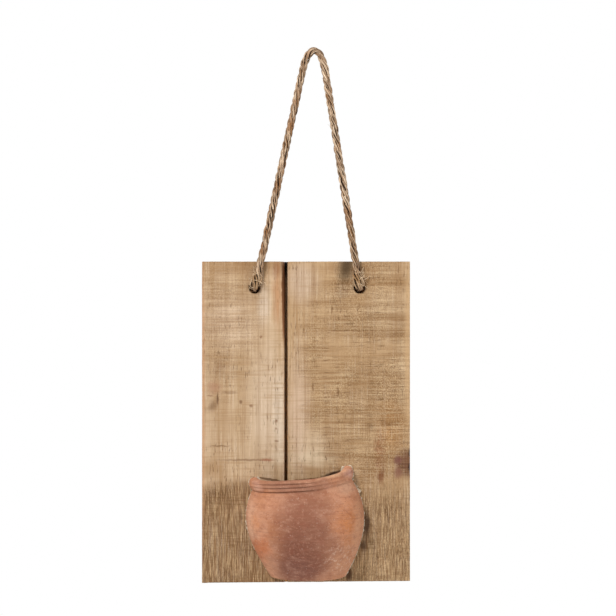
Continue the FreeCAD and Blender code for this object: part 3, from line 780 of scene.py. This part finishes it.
RIGHT_TONES_AND_LIGHT = [
    # knot at the outer edge, pale strip along the joint and pale top
    Patch(101, -121, 15, 18, "#6A452E", 1, 0, 0.45),
    Patch(-7, -72, 17, 90, "#D2B69C", 0.8),
    Patch(-4, 60, 24, 32, "#C8B09A", 0.65),
    # rusty streak, orange edge, darker foot and a brown place above the streak
    Patch(74, -113, 8, 36, "#945F40", 0.85),
    Patch(86, -86, 20, 38, "#AC7A46", 0.7),
    Patch(60, -262, 120, 138, "#9E7648", 0.2, 0, 0.35),
    Patch(68, -50, 14, 20, "#7E5A34", 0.35),
    # paler upper corner, a paler strip above the pot and painted light just above its rim, where the
    # pot shades the board, a paler edge, browner middle, darker start of the foot, painted light
    # beside the pot's foot over its shadow, and a greyer place below the rope
    Patch(84, 28, 36, 34, "#D8BC98", 0.6),
    Patch(9, -103, 22, 26, "#DCC2A2", 0.7),
    # painted light just above the rim, where the pot shades the board
    Patch(8, -115, 34, 12, "#E6D0B0", 0.6),
    Patch(97, -24, 10, 60, "#DCC09A", 0.6),
    Patch(46, -30, 26, 36, "#8E683C", 0.4),
    Patch(70, -129, 22, 11, "#8A6640", 0.6),
    # painted light over the pot's shadow beside its foot
    Patch(60, -222, 16, 24, "#D8B080", 0.7),
    Patch(38, 50, 11, 15, "#8A7058", 0.7),
]
RIGHT_STAINS_AND_SHADE = [
    # painted light on the joint's side, a pale orange that lifts the deep gap's shade to brown,
    # smoother outer edge and a smoky stain beside the rope
    # painted light on the joint's side, lifting the gap's shade
    Patch(-20, -80, 1.6, 260, "#E4A864", 1, 0, 0.3),
    Patch(104, -10, 8, 110, "#C8A47A", 0.6, 0, 0.6),
    Patch(40, 76, 12, 26, "#463420", 0.88, 10, 0.9),
    # paler heart, dark edge and mauve rim of the knot, and the end of the rusty streak
    Patch(103, -119, 9, 13, "#75503A", 0.65, 0, 0.5),
    Patch(104, -125, 3.5, 6, "#2E1A12", 0.9),
    Patch(104, -110, 3, 7, "#3A2418", 0.75),
    Patch(92, -118, 6.5, 7, "#744840", 0.8),
    Patch(92, -130, 6.5, 9, "#7C5042", 0.75),
    Patch(75, -134, 4.5, 10, "#744428", 0.7, 8),
    # strokes along the grain
    Patch(32, -49.5, 1.5, 7, "#6E4C2C", 0.75),
    Patch(26, 32.5, 1.4, 7, "#6E4C2C", 0.65),
    Patch(7, -44.5, 1.4, 7, "#6E4C2C", 0.6),
    # painted shade in the pot's mouth, where the board shows above the rim, and the pot's painted
    # shadow beside its belly and its foot
    Patch(27, -131, 19, 2.4, "#2E1606", 0.95, -17, 0.85),
    Patch(-2, -137.5, 24, 1.6, "#553419", 0.8, -6, 0.6),
    # the pot's painted shadow beside its belly and its foot
    Patch(60.5, -182, 5, 19, "#42281E", 0.75),
    Patch(57, -203, 6, 8, "#4A301E", 0.75),
    Patch(43, -232, 5, 11, "#4A2E1A", 0.9),
]
# Dark patches, with the plane that each sinks in from and how deep: painted shade in the top of the
# joint, and a dark line in the seam on the back.
JOINT_TOP_SHADE = (Patch(-20, 94, 4, 44, "#0C0502", 1, 0, 0.4), LAP_FRONT - 3, 6.5)
REAR_SEAM = (Patch(JOINT_RIGHT + 0.4, -70, 0.9, 500, "#241408", 0.9, 0, 0.6), PLANK_BACK, 2)
LEFT_SAWN = Patch(-80, 20, 60, 130)
LEFT_FOOT = Patch(-62, -262, 130, 130, soft=0.12)
RIGHT_SAWN = Patch(57, -28, 76, 150, soft=0.4)
RIGHT_FOOT = Patch(80, -262, 130, 138, soft=0.35)
KNOT_CRACKS = Pattern((30, 30, 1.8), 0.48, 0.6, "#4E3020", 0.75, -0.4, Patch(100, -120, 12, 16))
left_wood = sawn_wood(
    "left_plank_wood", "#CEB292", "#B3936E",
    board_patterns(0.5, LEFT_SAWN) + foot_patterns(LEFT_FOOT),
    LEFT_TONES_AND_LIGHT, LEFT_STAINS_AND_SHADE, pith=(-90, 60), joint_shade_and_seam=[JOINT_TOP_SHADE, REAR_SEAM])
right_wood = sawn_wood(
    "right_plank_wood", "#C0A07A", "#AE8C66",
    board_patterns(1, RIGHT_SAWN) + foot_patterns(RIGHT_FOOT) + [KNOT_CRACKS],
    RIGHT_TONES_AND_LIGHT, RIGHT_STAINS_AND_SHADE, pith=(70, 90), joint_shade_and_seam=[REAR_SEAM])
batten_wood = sawn_wood(
    "batten_wood", "#D8BC94", "#C4A27A", board_patterns(0.4), [], [], pith=(20, 40), lying=True)
rough_sawn = rough_sawn_tree()
left_board = sawn_board("left_sawn_plank", "left_plank", PLANK_VOXEL, left_wood, seed=1)
right_board = sawn_board("right_sawn_plank", "right_plank", PLANK_VOXEL, right_wood, seed=2)
upper_strip = sawn_board("upper_sawn_batten", "upper_batten", BATTEN_VOXEL, batten_wood, seed=3,
                         lying=True)
lower_strip = sawn_board("lower_sawn_batten", "lower_batten", BATTEN_VOXEL, batten_wood, seed=4,
                         lying=True)


# Screws: countersunk, with a cross recess, driven from behind into the planks.
SCREW_PLACES = [(-70, 7), (-36.5, -7), (-3.5, -7), (70, 7)]
SCREW_SINK = 0.5
THREAD_TURNS = 13.0
# Shares of a screw's length: its shank and that one's middle, its tip, and its thread's start.
SHANK_LONG = 0.8
SHANK_MIDDLE = -0.45
TIP_LONG = 0.16
THREAD_START = -0.9


def slid(tree, part, size, share):
    """A part of a screw, slid along the screw's axis by a share of a size."""
    far = add(tree, "ShaderNodeMath", {0: size, 1: share}, operation="MULTIPLY")[0]
    way = add(tree, "ShaderNodeCombineXYZ", {"Z": far})["Vector"]
    return add(tree, "GeometryNodeTransform", {"Geometry": part, "Translation": way})["Geometry"]


def screw_head(tree, sizes):
    """A countersunk head with a cross recess."""
    head = add(tree, "GeometryNodeMeshCone",
               {"Vertices": 40, "Radius Top": sizes["Head radius"],
                "Radius Bottom": sizes["Shank radius"], "Depth": sizes["Head height"]})["Mesh"]
    head = slid(tree, head, sizes["Head height"], -1.0)
    slot = add(tree, "GeometryNodeMeshCube", {"Size": sizes["Recess"]})["Mesh"]
    # the second slot is a little shallower, so that the two floors don't lie in one plane
    crossed = add(tree, "GeometryNodeTransform",
                  {"Geometry": slot, "Rotation": (0, 0, math.radians(90)),
                   "Scale": (1, 1, 0.94)})["Geometry"]
    return add(tree, "GeometryNodeMeshBoolean", {"Mesh 1": head, "Mesh 2": [slot, crossed]},
               operation="DIFFERENCE")["Mesh"]


def screw_shank(tree, sizes):
    """The parts below the head: a shank, a point and the ridge of the thread."""
    long = add(tree, "ShaderNodeMath", {0: sizes["Length"], 1: SHANK_LONG}, operation="MULTIPLY")[0]
    shank = add(tree, "GeometryNodeMeshCylinder",
                {"Vertices": 20, "Radius": sizes["Shank radius"], "Depth": long})["Mesh"]
    shank = slid(tree, shank, sizes["Length"], SHANK_MIDDLE)
    tip = add(tree, "ShaderNodeMath", {0: sizes["Length"], 1: TIP_LONG}, operation="MULTIPLY")[0]
    point = add(tree, "GeometryNodeMeshCone",
                {"Vertices": 20, "Radius Top": sizes["Shank radius"], "Radius Bottom": 0.1 * MM,
                 "Depth": tip})["Mesh"]
    point = slid(tree, point, sizes["Length"], -1.0)
    ridge = add(tree, "GeometryNodeCurveSpiral",
                {"Resolution": 12, "Rotations": THREAD_TURNS, "Start Radius": sizes["Shank radius"],
                 "End Radius": sizes["Shank radius"], "Height": long})["Curve"]
    ridge = slid(tree, ridge, sizes["Length"], THREAD_START)
    girth = add(tree, "GeometryNodeCurvePrimitiveCircle",
                {"Resolution": 4, "Radius": sizes["Thread height"]})["Curve"]
    ridge = add(tree, "GeometryNodeCurveToMesh",
                {"Curve": ridge, "Profile Curve": girth, "Fill Caps": True})["Mesh"]
    return [shank, point, ridge]


def wood_screw_tree():
    """Countersunk wood screws on the points of a mesh, each turned by its own amount."""
    tree = new_tree("wood_screws", {"Head radius": "Float", "Head height": "Float",
                                    "Shank radius": "Float", "Length": "Float",
                                    "Thread height": "Float", "Recess": "Vector",
                                    "Seed": "Int", "Material": "Material"})
    sizes = add(tree, "NodeGroupInput")
    parts = [screw_head(tree, sizes)] + screw_shank(tree, sizes)
    screw = add(tree, "GeometryNodeJoinGeometry", {"Geometry": parts})[0]
    spin = add(tree, "FunctionNodeRandomValue",
               {"Max": (0, 0, math.tau), "Min": (0, 0, 0), "Seed": sizes["Seed"]},
               data_type="FLOAT_VECTOR")[0]
    aim = add(tree, "FunctionNodeRotateRotation", {
        "Rotation": add(tree, "FunctionNodeEulerToRotation",
                        {"Euler": (math.radians(-90), 0, 0)})[0],
        "Rotate By": add(tree, "FunctionNodeEulerToRotation", {"Euler": spin})[0]},
        rotation_space="LOCAL")[0]
    screws = add(tree, "GeometryNodeInstanceOnPoints",
                 {"Points": sizes["Geometry"], "Instance": screw, "Rotation": aim})[0]
    return end_tree(tree, screws, sizes["Material"])


def zinc_steel():
    """Zinc-plated steel screws: a dull yellowish grey metal with a fine brushed grain."""
    material, tree, place = new_finish("zinc_plated_steel")
    colour, height = lay_patterns(tree, place, linear("#C6C1B4"), [
        Pattern((1.4, 1.4, 1.4), 0.45, 0.7, "#8E8878", 0.6),
        Pattern((0.3, 0.3, 0.3), 0.4, 0.7, "#A8A294", 0.3, 1)], 0, 1)
    shade(tree, colour, height, 0.03, {"Metallic": 1.0, "Roughness": 0.42})
    return material


wood_screws = wood_screw_tree()
steel = zinc_steel()
for number, (name, node) in enumerate((("upper_wood_screws", "upper_batten_screws"),
                                       ("lower_wood_screws", "lower_batten_screws"))):
    low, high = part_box(node)
    middle = (low.z + high.z) / 2
    mesh = bpy.data.meshes.new(name)
    mesh.from_pydata([(x * MM, -SCREW_SINK * MM, middle + z * MM) for x, z in SCREW_PLACES], [], [])
    screws = new_piece(name, mesh)
    run_tree(screws, wood_screws, {
        "Head radius": 3.5 * MM, "Head height": 2.6 * MM, "Shank radius": 1.45 * MM,
        "Length": 35 * MM, "Thread height": 0.3 * MM,
        "Recess": (3.4 * MM, 0.9 * MM, 3.6 * MM), "Seed": number + 1, "Material": steel})
    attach(screws, "planter")
    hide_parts(node)


# Half pot: thrown, so a profile turned half round, that leans, tilts and droops towards the rim.
POT_FOOT = -233.5
POT_HEIGHT = 104.5
BASE_RADIUS = 37.5
BELLY_RADIUS = 59
BELLY_HEIGHT = POT_HEIGHT * 0.575
NECK_RADIUS = 49.5
LIP_HEIGHT = 11.5
NECK_HEIGHT = POT_HEIGHT - LIP_HEIGHT
LIP_REACH = 3
POT_WALL = 8
LIP_WALL = POT_WALL * 0.7
LIP_ROUND = 1.2
POT_FLOOR = 9
# The height below which the inside turns in to the floor.
WELL_HEIGHT = 24
BASE_SHIFT = 2.2
POT_LEAN = 7.7
LEAN_CURVE = 1.6
RIM_TILT = math.radians(7)
RIM_DROOP = math.radians(5)
RIM_SAG = 1.7
# Angles from the pot's right end, between which its rim's sag and ears rise and its grooves fade.
SAG_START = (0.1, 0.6)
SAG_END = (1.9, 1.1)
RIGHT_EAR = (math.radians(30), math.radians(8))
LEFT_EAR = (math.radians(130), math.radians(168))
RIM_GROOVES = (101.2, 97.4, 93.2)
GROOVE_DEPTH = 1
GROOVE_WIDTH = 0.7
GROOVES_FADE = (math.radians(55), math.radians(95))
GROOVES_START = (math.radians(168), math.radians(142))
# Hand throwing: lumps, and fine lines round the pot, whose wave turns by LINE_TURN a millimetre.
LUMP_SIZE = 34
LUMPS_ROUND = 1.6
LUMP_HEIGHT = 0.7
LINE_TURN = 1.55
LINE_HEIGHT = 0.12
DRAIN_RADIUS = 5
DRAIN_FORWARD = 19
MORTAR = 1.5
POT_STEPS = 132
# The plane that the patches of the clay sink in from, and how deep.
CLAY_FRONT = -80
CLAY_DEPTH = 62
CLAY_TONES_AND_LIGHT = [
    # smoked front, darkest low down
    Patch(-1, -185, 46, 70, "#845440", 0.92, 0, 0.6),
    Patch(-7, -204, 30, 44, "#744636", 0.85, 0, 0.85),
    # orange clouds, a smoked base and a paler place at its right
    Patch(42, -178, 24, 32, "#CE824C", 0.8, 0, 1),
    Patch(-46, -203, 15, 20, "#C67448", 0.8),
    Patch(-52, -176, 8, 14, "#D68C58", 0.7),
    Patch(-6, -224, 30, 20, "#744A3E", 0.8),
    Patch(37, -214, 19, 24, "#C8906C", 0.8, 0, 1),
    # brown rim with a mauve right end, and a painted highlight along its top edge
    Patch(-14, -139, 60, 12, "#8E624C", 0.8),
    Patch(43, -128, 9, 7, "#CFA294", 0.9),
    # painted highlight along the rim's top edge
    Patch(26, -129, 22, 4, "#DDB48E", 0.7, -14, 0.9),
    # painted light on both flanks, lifting the shade at the pot's sides, and paler left end of the rim
    # and right of the neck
    Patch(53, -180, 10, 44, "#E0AC88", 0.6),
    Patch(-56, -182, 9, 46, "#E4B494", 0.65),
    Patch(-49, -142, 10, 10, "#D6A68E", 0.7),
    Patch(40, -142, 15, 9, "#D2A688", 0.65),
]


def body_radius(height):
    """The pot's outside without its lip: out to the belly, then in to the neck."""
    if height <= BELLY_HEIGHT:
        share = math.sin(math.pi / 2 * height / BELLY_HEIGHT)
        return BASE_RADIUS + (BELLY_RADIUS - BASE_RADIUS) * share
    share = min((height - BELLY_HEIGHT) / (NECK_HEIGHT - BELLY_HEIGHT), 1)
    return NECK_RADIUS + (BELLY_RADIUS - NECK_RADIUS) * math.cos(math.pi / 2 * share)


def pot_profile():
    """Radius and height from the middle of the base, up the outside and down the inside."""
    profile = [(radius, 0) for radius in np.linspace(0, BASE_RADIUS - 1.5, 12)]
    profile += [(BASE_RADIUS - 0.4, 0.4)]
    profile += [(body_radius(height), height) for height in np.linspace(1.5, NECK_HEIGHT, 72)]
    for share in np.linspace(0.02, 0.93, 36):
        profile.append((NECK_RADIUS, NECK_HEIGHT + LIP_HEIGHT * share))
    outer, rim = profile[-1]
    inner = NECK_RADIUS - LIP_WALL
    for angle in np.linspace(0.15, math.pi - 0.15, 12):
        profile.append(((outer + inner) / 2 + (outer - inner) / 2 * math.cos(angle),
                        rim + LIP_ROUND * math.sin(angle)))
    for height in np.linspace(rim - 0.5, WELL_HEIGHT, 44):
        share = max((height - NECK_HEIGHT) / LIP_HEIGHT, 0)
        wall = POT_WALL - (POT_WALL - LIP_WALL) * share
        profile.append((body_radius(height) - wall, height))
    low = profile[-1][0]
    floor_radius = BASE_RADIUS - POT_WALL * 0.6
    for share in np.linspace(0.08, 1, 12):
        profile.append((floor_radius + (low - floor_radius) * (1 - share) ** 0.6,
                        WELL_HEIGHT + (POT_FLOOR - WELL_HEIGHT) * share))
    profile += [(radius, POT_FLOOR) for radius in np.linspace(floor_radius - 2, 0, 12)]
    return profile


def rim_groove(height, angle):
    """1 in the bottom of a groove of the rim and 0 off it; the grooves die out towards both ends."""
    deepest = max(math.exp(-((height - groove) / GROOVE_WIDTH) ** 2) for groove in RIM_GROOVES)
    return smooth_step(angle, *GROOVES_FADE) * smooth_step(angle, *GROOVES_START) * deepest


def pot_place(radius, height, angle, outside):
    """Where a point of the turned profile lies, with the unevenness of hand throwing."""
    lump = noise.noise((math.cos(angle) * LUMPS_ROUND, math.sin(angle) * LUMPS_ROUND,
                        height / LUMP_SIZE))
    lines = math.sin(height * LINE_TURN + 2.5 * lump) * LINE_HEIGHT
    if radius > 1:
        radius += lump * LUMP_HEIGHT + lines
    if outside:
        # the lip stands out most at its two ends, and dies out between the right end and the middle
        rolled = smooth_step(angle, *GROOVES_FADE)
        ear = max(smooth_step(angle, *RIGHT_EAR), smooth_step(angle, *LEFT_EAR))
        up_lip = min(max((height - NECK_HEIGHT) / LIP_HEIGHT, 0), 1)
        lip = math.sin(math.pi * up_lip) ** 0.6
        middle = 0.1 + 0.35 * rolled
        radius += LIP_REACH * lip * (middle + (1 - middle) * ear)
        radius -= GROOVE_DEPTH * rim_groove(height, angle)
    share = height / POT_HEIGHT
    # the rim sags a little to the right of its middle
    sag = smooth_step(angle, *SAG_START) * smooth_step(angle, *SAG_END)
    height -= RIM_SAG * sag * share ** 4
    droop = RIM_DROOP * share
    tilt = RIM_TILT * share
    side = radius * math.cos(angle)
    front = -radius * math.sin(angle)
    rise = front * math.sin(droop)
    return ((side * math.cos(tilt) - rise * math.sin(tilt)
             + BASE_SHIFT - POT_LEAN * share ** LEAN_CURVE) * MM,
            (PLANK_FACE + front * math.cos(droop)) * MM,
            (POT_FOOT + height + side * math.sin(tilt) + rise * math.cos(tilt)) * MM)


def pot_mesh():
    """The pot's half turn, cut flat where it meets the mortar; its finish reads where grooves are."""
    profile = pot_profile()
    top = max(range(len(profile)), key=lambda index: profile[index][1])
    shell = bmesh.new()
    grooved = shell.verts.layers.float.new("groove")
    rows = []
    for index, (radius, height) in enumerate(profile):
        if radius == 0:
            rows.append([shell.verts.new(pot_place(0, height, 0, False))] * (POT_STEPS + 1))
            continue
        rows.append([])
        for angle in np.linspace(0, math.pi, POT_STEPS + 1):
            corner = shell.verts.new(pot_place(radius, height, angle, index <= top))
            corner[grooved] = rim_groove(height, angle) if index <= top else 0
            rows[-1].append(corner)
    for low, high in zip(rows, rows[1:]):
        for step in range(POT_STEPS):
            corners = [low[step], low[step + 1], high[step + 1], high[step]]
            shell.faces.new(list(dict.fromkeys(corners)))
    cut = bmesh.ops.bisect_plane(
        shell, geom=shell.verts[:] + shell.edges[:] + shell.faces[:],
        plane_co=(0, (PLANK_FACE - MORTAR) * MM, 0), plane_no=(0, 1, 0), clear_outer=True)
    rim = [item for item in cut["geom_cut"] if isinstance(item, bmesh.types.BMEdge)]
    closing = bmesh.ops.edgeloop_fill(shell, edges=rim)["faces"]
    bmesh.ops.triangulate(shell, faces=closing)
    bmesh.ops.recalc_face_normals(shell, faces=shell.faces)
    mesh = bpy.data.meshes.new("clay_half_pot")
    shell.to_mesh(mesh)
    shell.free()
    return mesh


def drill_drain(pot):
    """Cuts the drain hole through the pot's floor."""
    bit = bpy.data.meshes.new("drain")
    shell = bmesh.new()
    bmesh.ops.create_cone(shell, cap_ends=True, segments=40, radius1=DRAIN_RADIUS * MM,
                          radius2=DRAIN_RADIUS * MM, depth=POT_FLOOR * 3 * MM)
    bmesh.ops.translate(shell, verts=shell.verts, vec=Vector(
        (BASE_SHIFT, PLANK_FACE - DRAIN_FORWARD, POT_FOOT + POT_FLOOR / 2)) * MM)
    shell.to_mesh(bit)
    shell.free()
    drill = new_piece("drain", bit)
    hole = pot.modifiers.new("drain", "BOOLEAN")
    hole.object = drill
    hole.operation = "DIFFERENCE"
    keep_result(pot)
    bpy.data.objects.remove(drill)


def terracotta():
    """Old terracotta, thrown and fired unevenly: matt salmon clay with a smoky front, orange and
    mauve clouds, fine throwing lines, lime specks and small pits."""
    material, tree, place = new_finish("old_terracotta")
    warped = ragged(tree, place, 16, (16, 16, 16))
    cloud = add(tree, "ShaderNodeTexNoise", {"Vector": place, "Scale": 1 / 26, "Detail": 4.0})[0]
    share = add(tree, "ShaderNodeMapRange", {"Value": cloud, "From Min": 0.35, "From Max": 0.65})[0]
    colour = add(tree, "ShaderNodeMixRGB", {"Fac": share, "Color1": linear("#BC7E58"),
                                            "Color2": linear("#D69C7A")})["Color"]
    colour = lay_patches(tree, warped, colour, CLAY_TONES_AND_LIGHT, CLAY_FRONT, CLAY_DEPTH)
    colour, height = lay_patterns(tree, place, colour, [
        Pattern((60, 60, 1.4), 0.5, 0.7, "#8E5C46", 0.25, -0.6),
        Pattern((11, 11, 5), 0.5, 0.7, "#DDAF95", 0.17),
        Pattern((7, 7, 4), 0.5, 0.7, "#8A4C38", 0.3),
        Pattern((2.2, 2.2, 2.2), 0.55, 0.72, "#D6A68C", 0.26, 0.2),
        Pattern((1.3, 1.3, 1.3), 0.68, 0.74, "#F0DACC", 0.35, 0.3),
        Pattern((1.1, 1.1, 1.1), 0.64, 0.72, "#7A4A3A", 0.6, -1),
        Pattern((0.8, 0.8, 0.8), 0.35, 0.65, "#A8715A", 0.2, 0.6),
        Pattern((3, 3, 3), 0.55, 0.66, "#E4C0AA", 0.5, 0.4, Patch(34, -212, 24, 26))],
        CLAY_FRONT, CLAY_DEPTH)
    # painted shade in places in the rim's grooves
    patchy = add(tree, "ShaderNodeMapRange", {"Value": cloud, "From Min": 0.35, "From Max": 0.6,
                                              "To Min": 0.1, "To Max": 0.45})["Result"]
    groove_shade = add(tree, "ShaderNodeMath",
                {0: add(tree, "ShaderNodeAttribute", attribute_name="groove")["Fac"], 1: patchy},
                operation="MULTIPLY")["Value"]
    colour = add(tree, "ShaderNodeMixRGB",
                 {"Fac": groove_shade, "Color1": colour, "Color2": linear("#64402E")})["Color"]
    shade(tree, colour, height, 0.4, {"Roughness": 0.85, "Specular IOR Level": 0.25})
    return material


pot = new_piece("clay_half_pot", pot_mesh(), terracotta())
drill_drain(pot)
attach(pot, "planter")
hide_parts("half_pot")


# Mortar: the bead between the pot's cut edge and the planks, squeezed out unevenly.
MORTAR_VOXEL = 0.5


def squeezed_mortar_tree():
    """Pushes a bead out of its joint by noise, and further round one place where it was daubed on."""
    tree = new_tree("squeezed_mortar", {"Grain": "Float", "Squeeze": "Float", "Daub": "Vector",
                                        "Daub size": "Float", "Daub height": "Float",
                                        "Seed": "Int", "Material": "Material"})
    sizes = add(tree, "NodeGroupInput")
    position = add(tree, "GeometryNodeInputPosition")["Position"]
    scale = add(tree, "ShaderNodeMath", {0: 1.0, 1: sizes["Grain"]}, operation="DIVIDE")[0]
    grain = add(tree, "ShaderNodeTexNoise",
                {"Vector": position, "W": sizes["Seed"], "Scale": scale, "Detail": 3.0},
                noise_dimensions="4D")[0]
    far = add(tree, "ShaderNodeVectorMath", {0: position, 1: sizes["Daub"]}, operation="DISTANCE")
    near = add(tree, "ShaderNodeMapRange",
               {"Value": far["Value"], "From Min": sizes["Daub size"], "From Max": 0.0,
                "To Max": sizes["Daub height"]})["Result"]
    reach = add(tree, "ShaderNodeMath", {0: sizes["Squeeze"], 1: near}, operation="ADD")[0]
    rise = add(tree, "ShaderNodeMapRange", {"Value": grain, "From Min": 0.42, "From Max": 0.7})[0]
    push = add(tree, "ShaderNodeVectorMath", {
        0: add(tree, "GeometryNodeInputNormal")["Normal"],
        "Scale": add(tree, "ShaderNodeMath", {0: rise, 1: reach}, operation="MULTIPLY")[0]},
        operation="SCALE")["Vector"]
    moved = add(tree, "GeometryNodeSetPosition", {"Geometry": sizes["Geometry"], "Offset": push})
    return end_tree(tree, moved["Geometry"], sizes["Material"])


def lime_mortar():
    """Lime mortar, set rough: chalky grey-beige with sand grains and clay-stained crumbs."""
    material, tree, place = new_finish("lime_mortar")
    colour, height = lay_patterns(tree, place, linear("#D2C0A6"), [
        Pattern((4, 4, 4), 0.5, 0.64, "#A08468", 0.7),
        Pattern((1.2, 1.2, 1.2), 0.55, 0.7, "#EFE6DA", 0.9, 0.6),
        Pattern((0.7, 0.7, 0.7), 0.6, 0.72, "#5E4634", 0.6, -1)], 0, 1)
    shade(tree, colour, height, 0.3, {"Roughness": 0.95, "Specular IOR Level": 0.2})
    return material


mortar = new_piece("squeezed_mortar", merged_copy("mortar_bead"))
voxel_remesh(mortar, MORTAR_VOXEL)
run_tree(mortar, squeezed_mortar_tree(), {
    "Grain": 3.5 * MM, "Squeeze": 1.2 * MM, "Daub": (0.047, -0.043, -0.143), "Daub size": 14 * MM,
    "Daub height": 5 * MM, "Seed": 2, "Material": lime_mortar()})
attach(mortar, "planter")
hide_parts("mortar_bead")


# Studio: a pale floor far below, even light from all round and a soft lamp from the upper left.
FLOOR_Z = -1.0
FLOOR_HALF = 4.0
# Distances in mm between which the floor brightens to white, and its glow at the first.
FLOOR_FADE = (1400, 3600)
FLOOR_GLOW = 0.35
AMBIENT = 0.44
LAMP_AIM = (0, -0.04, -0.05)


def white_background(tree, ambient):
    """White to the camera and in reflections, and an even light for everything else."""
    path = add(tree, "ShaderNodeLightPath")
    seen = add(tree, "ShaderNodeMath", {0: path["Is Camera Ray"], 1: path["Is Glossy Ray"]},
               operation="MAXIMUM")[0]
    seen = add(tree, "ShaderNodeMath", {0: seen, 1: path["Is Transmission Ray"]},
               operation="MAXIMUM")[0]
    strength = add(tree, "ShaderNodeMapRange", {"Value": seen, "To Min": ambient, "To Max": 1.0})[0]
    light = add(tree, "ShaderNodeBackground", {"Color": (1, 1, 1, 1), "Strength": strength})[0]
    add(tree, "ShaderNodeOutputWorld", {"Surface": light})


def soft_lamp(name, place, target, size, power):
    """A square soft box aimed at a point."""
    lamp = bpy.data.objects.new(name, bpy.data.lights.new(name, "AREA"))
    lamp.data.size = size
    lamp.data.energy = power
    lamp.location = place
    lamp.rotation_euler = (Vector(target) - Vector(place)).to_track_quat("-Z", "Y").to_euler()
    bpy.context.scene.collection.objects.link(lamp)


def pale_floor():
    """Matt white paper: a faint mottle, no gloss, and paler far from the planter."""
    material, tree, place = new_finish("white_paper")
    colour, height = lay_patterns(tree, place, linear("#F4F3F1"), [
        Pattern((40, 40, 40), 0.4, 0.7, "#EFEEEC", 0.5, 0.1)], 0, 1)
    # towards its edge the floor brightens to the white behind it
    reach = add(tree, "ShaderNodeVectorMath", {0: place}, operation="LENGTH")["Value"]
    bright = add(tree, "ShaderNodeMapRange",
                 {"Value": reach, "From Min": FLOOR_FADE[0], "From Max": FLOOR_FADE[1],
                  "To Min": FLOOR_GLOW, "To Max": 1.0})["Result"]
    glow = add(tree, "ShaderNodeMath",
               {0: add(tree, "ShaderNodeLightPath")["Is Camera Ray"], 1: bright},
               operation="MULTIPLY")["Value"]
    shade(tree, colour, height, 0.05, {"Roughness": 0.95, "Specular IOR Level": 0.1,
                                       "Emission Color": (1, 1, 1, 1), "Emission Strength": glow})
    mesh = bpy.data.meshes.new("floor")
    half = FLOOR_HALF
    mesh.from_pydata([(-half, -half, FLOOR_Z), (half, -half, FLOOR_Z), (half, half, FLOOR_Z),
                      (-half, half, FLOOR_Z)], [], [(0, 1, 2, 3)])
    return new_piece("floor", mesh, material)


pale_floor()
world = bpy.data.worlds.new("studio")
world.use_nodes = True
world.node_tree.nodes.clear()
white_background(world.node_tree, AMBIENT)
bpy.context.scene.world = world
soft_lamp("key", (-0.8, -1.5, 1.2), LAMP_AIM, size=0.5, power=32)
soft_lamp("fill", (1.3, -1.4, 0.1), LAMP_AIM, size=1.2, power=7)
soft_lamp("rear", (0.7, 1.7, 0.8), LAMP_AIM, size=1.0, power=18)
bpy.context.scene.view_settings.view_transform = "Standard"
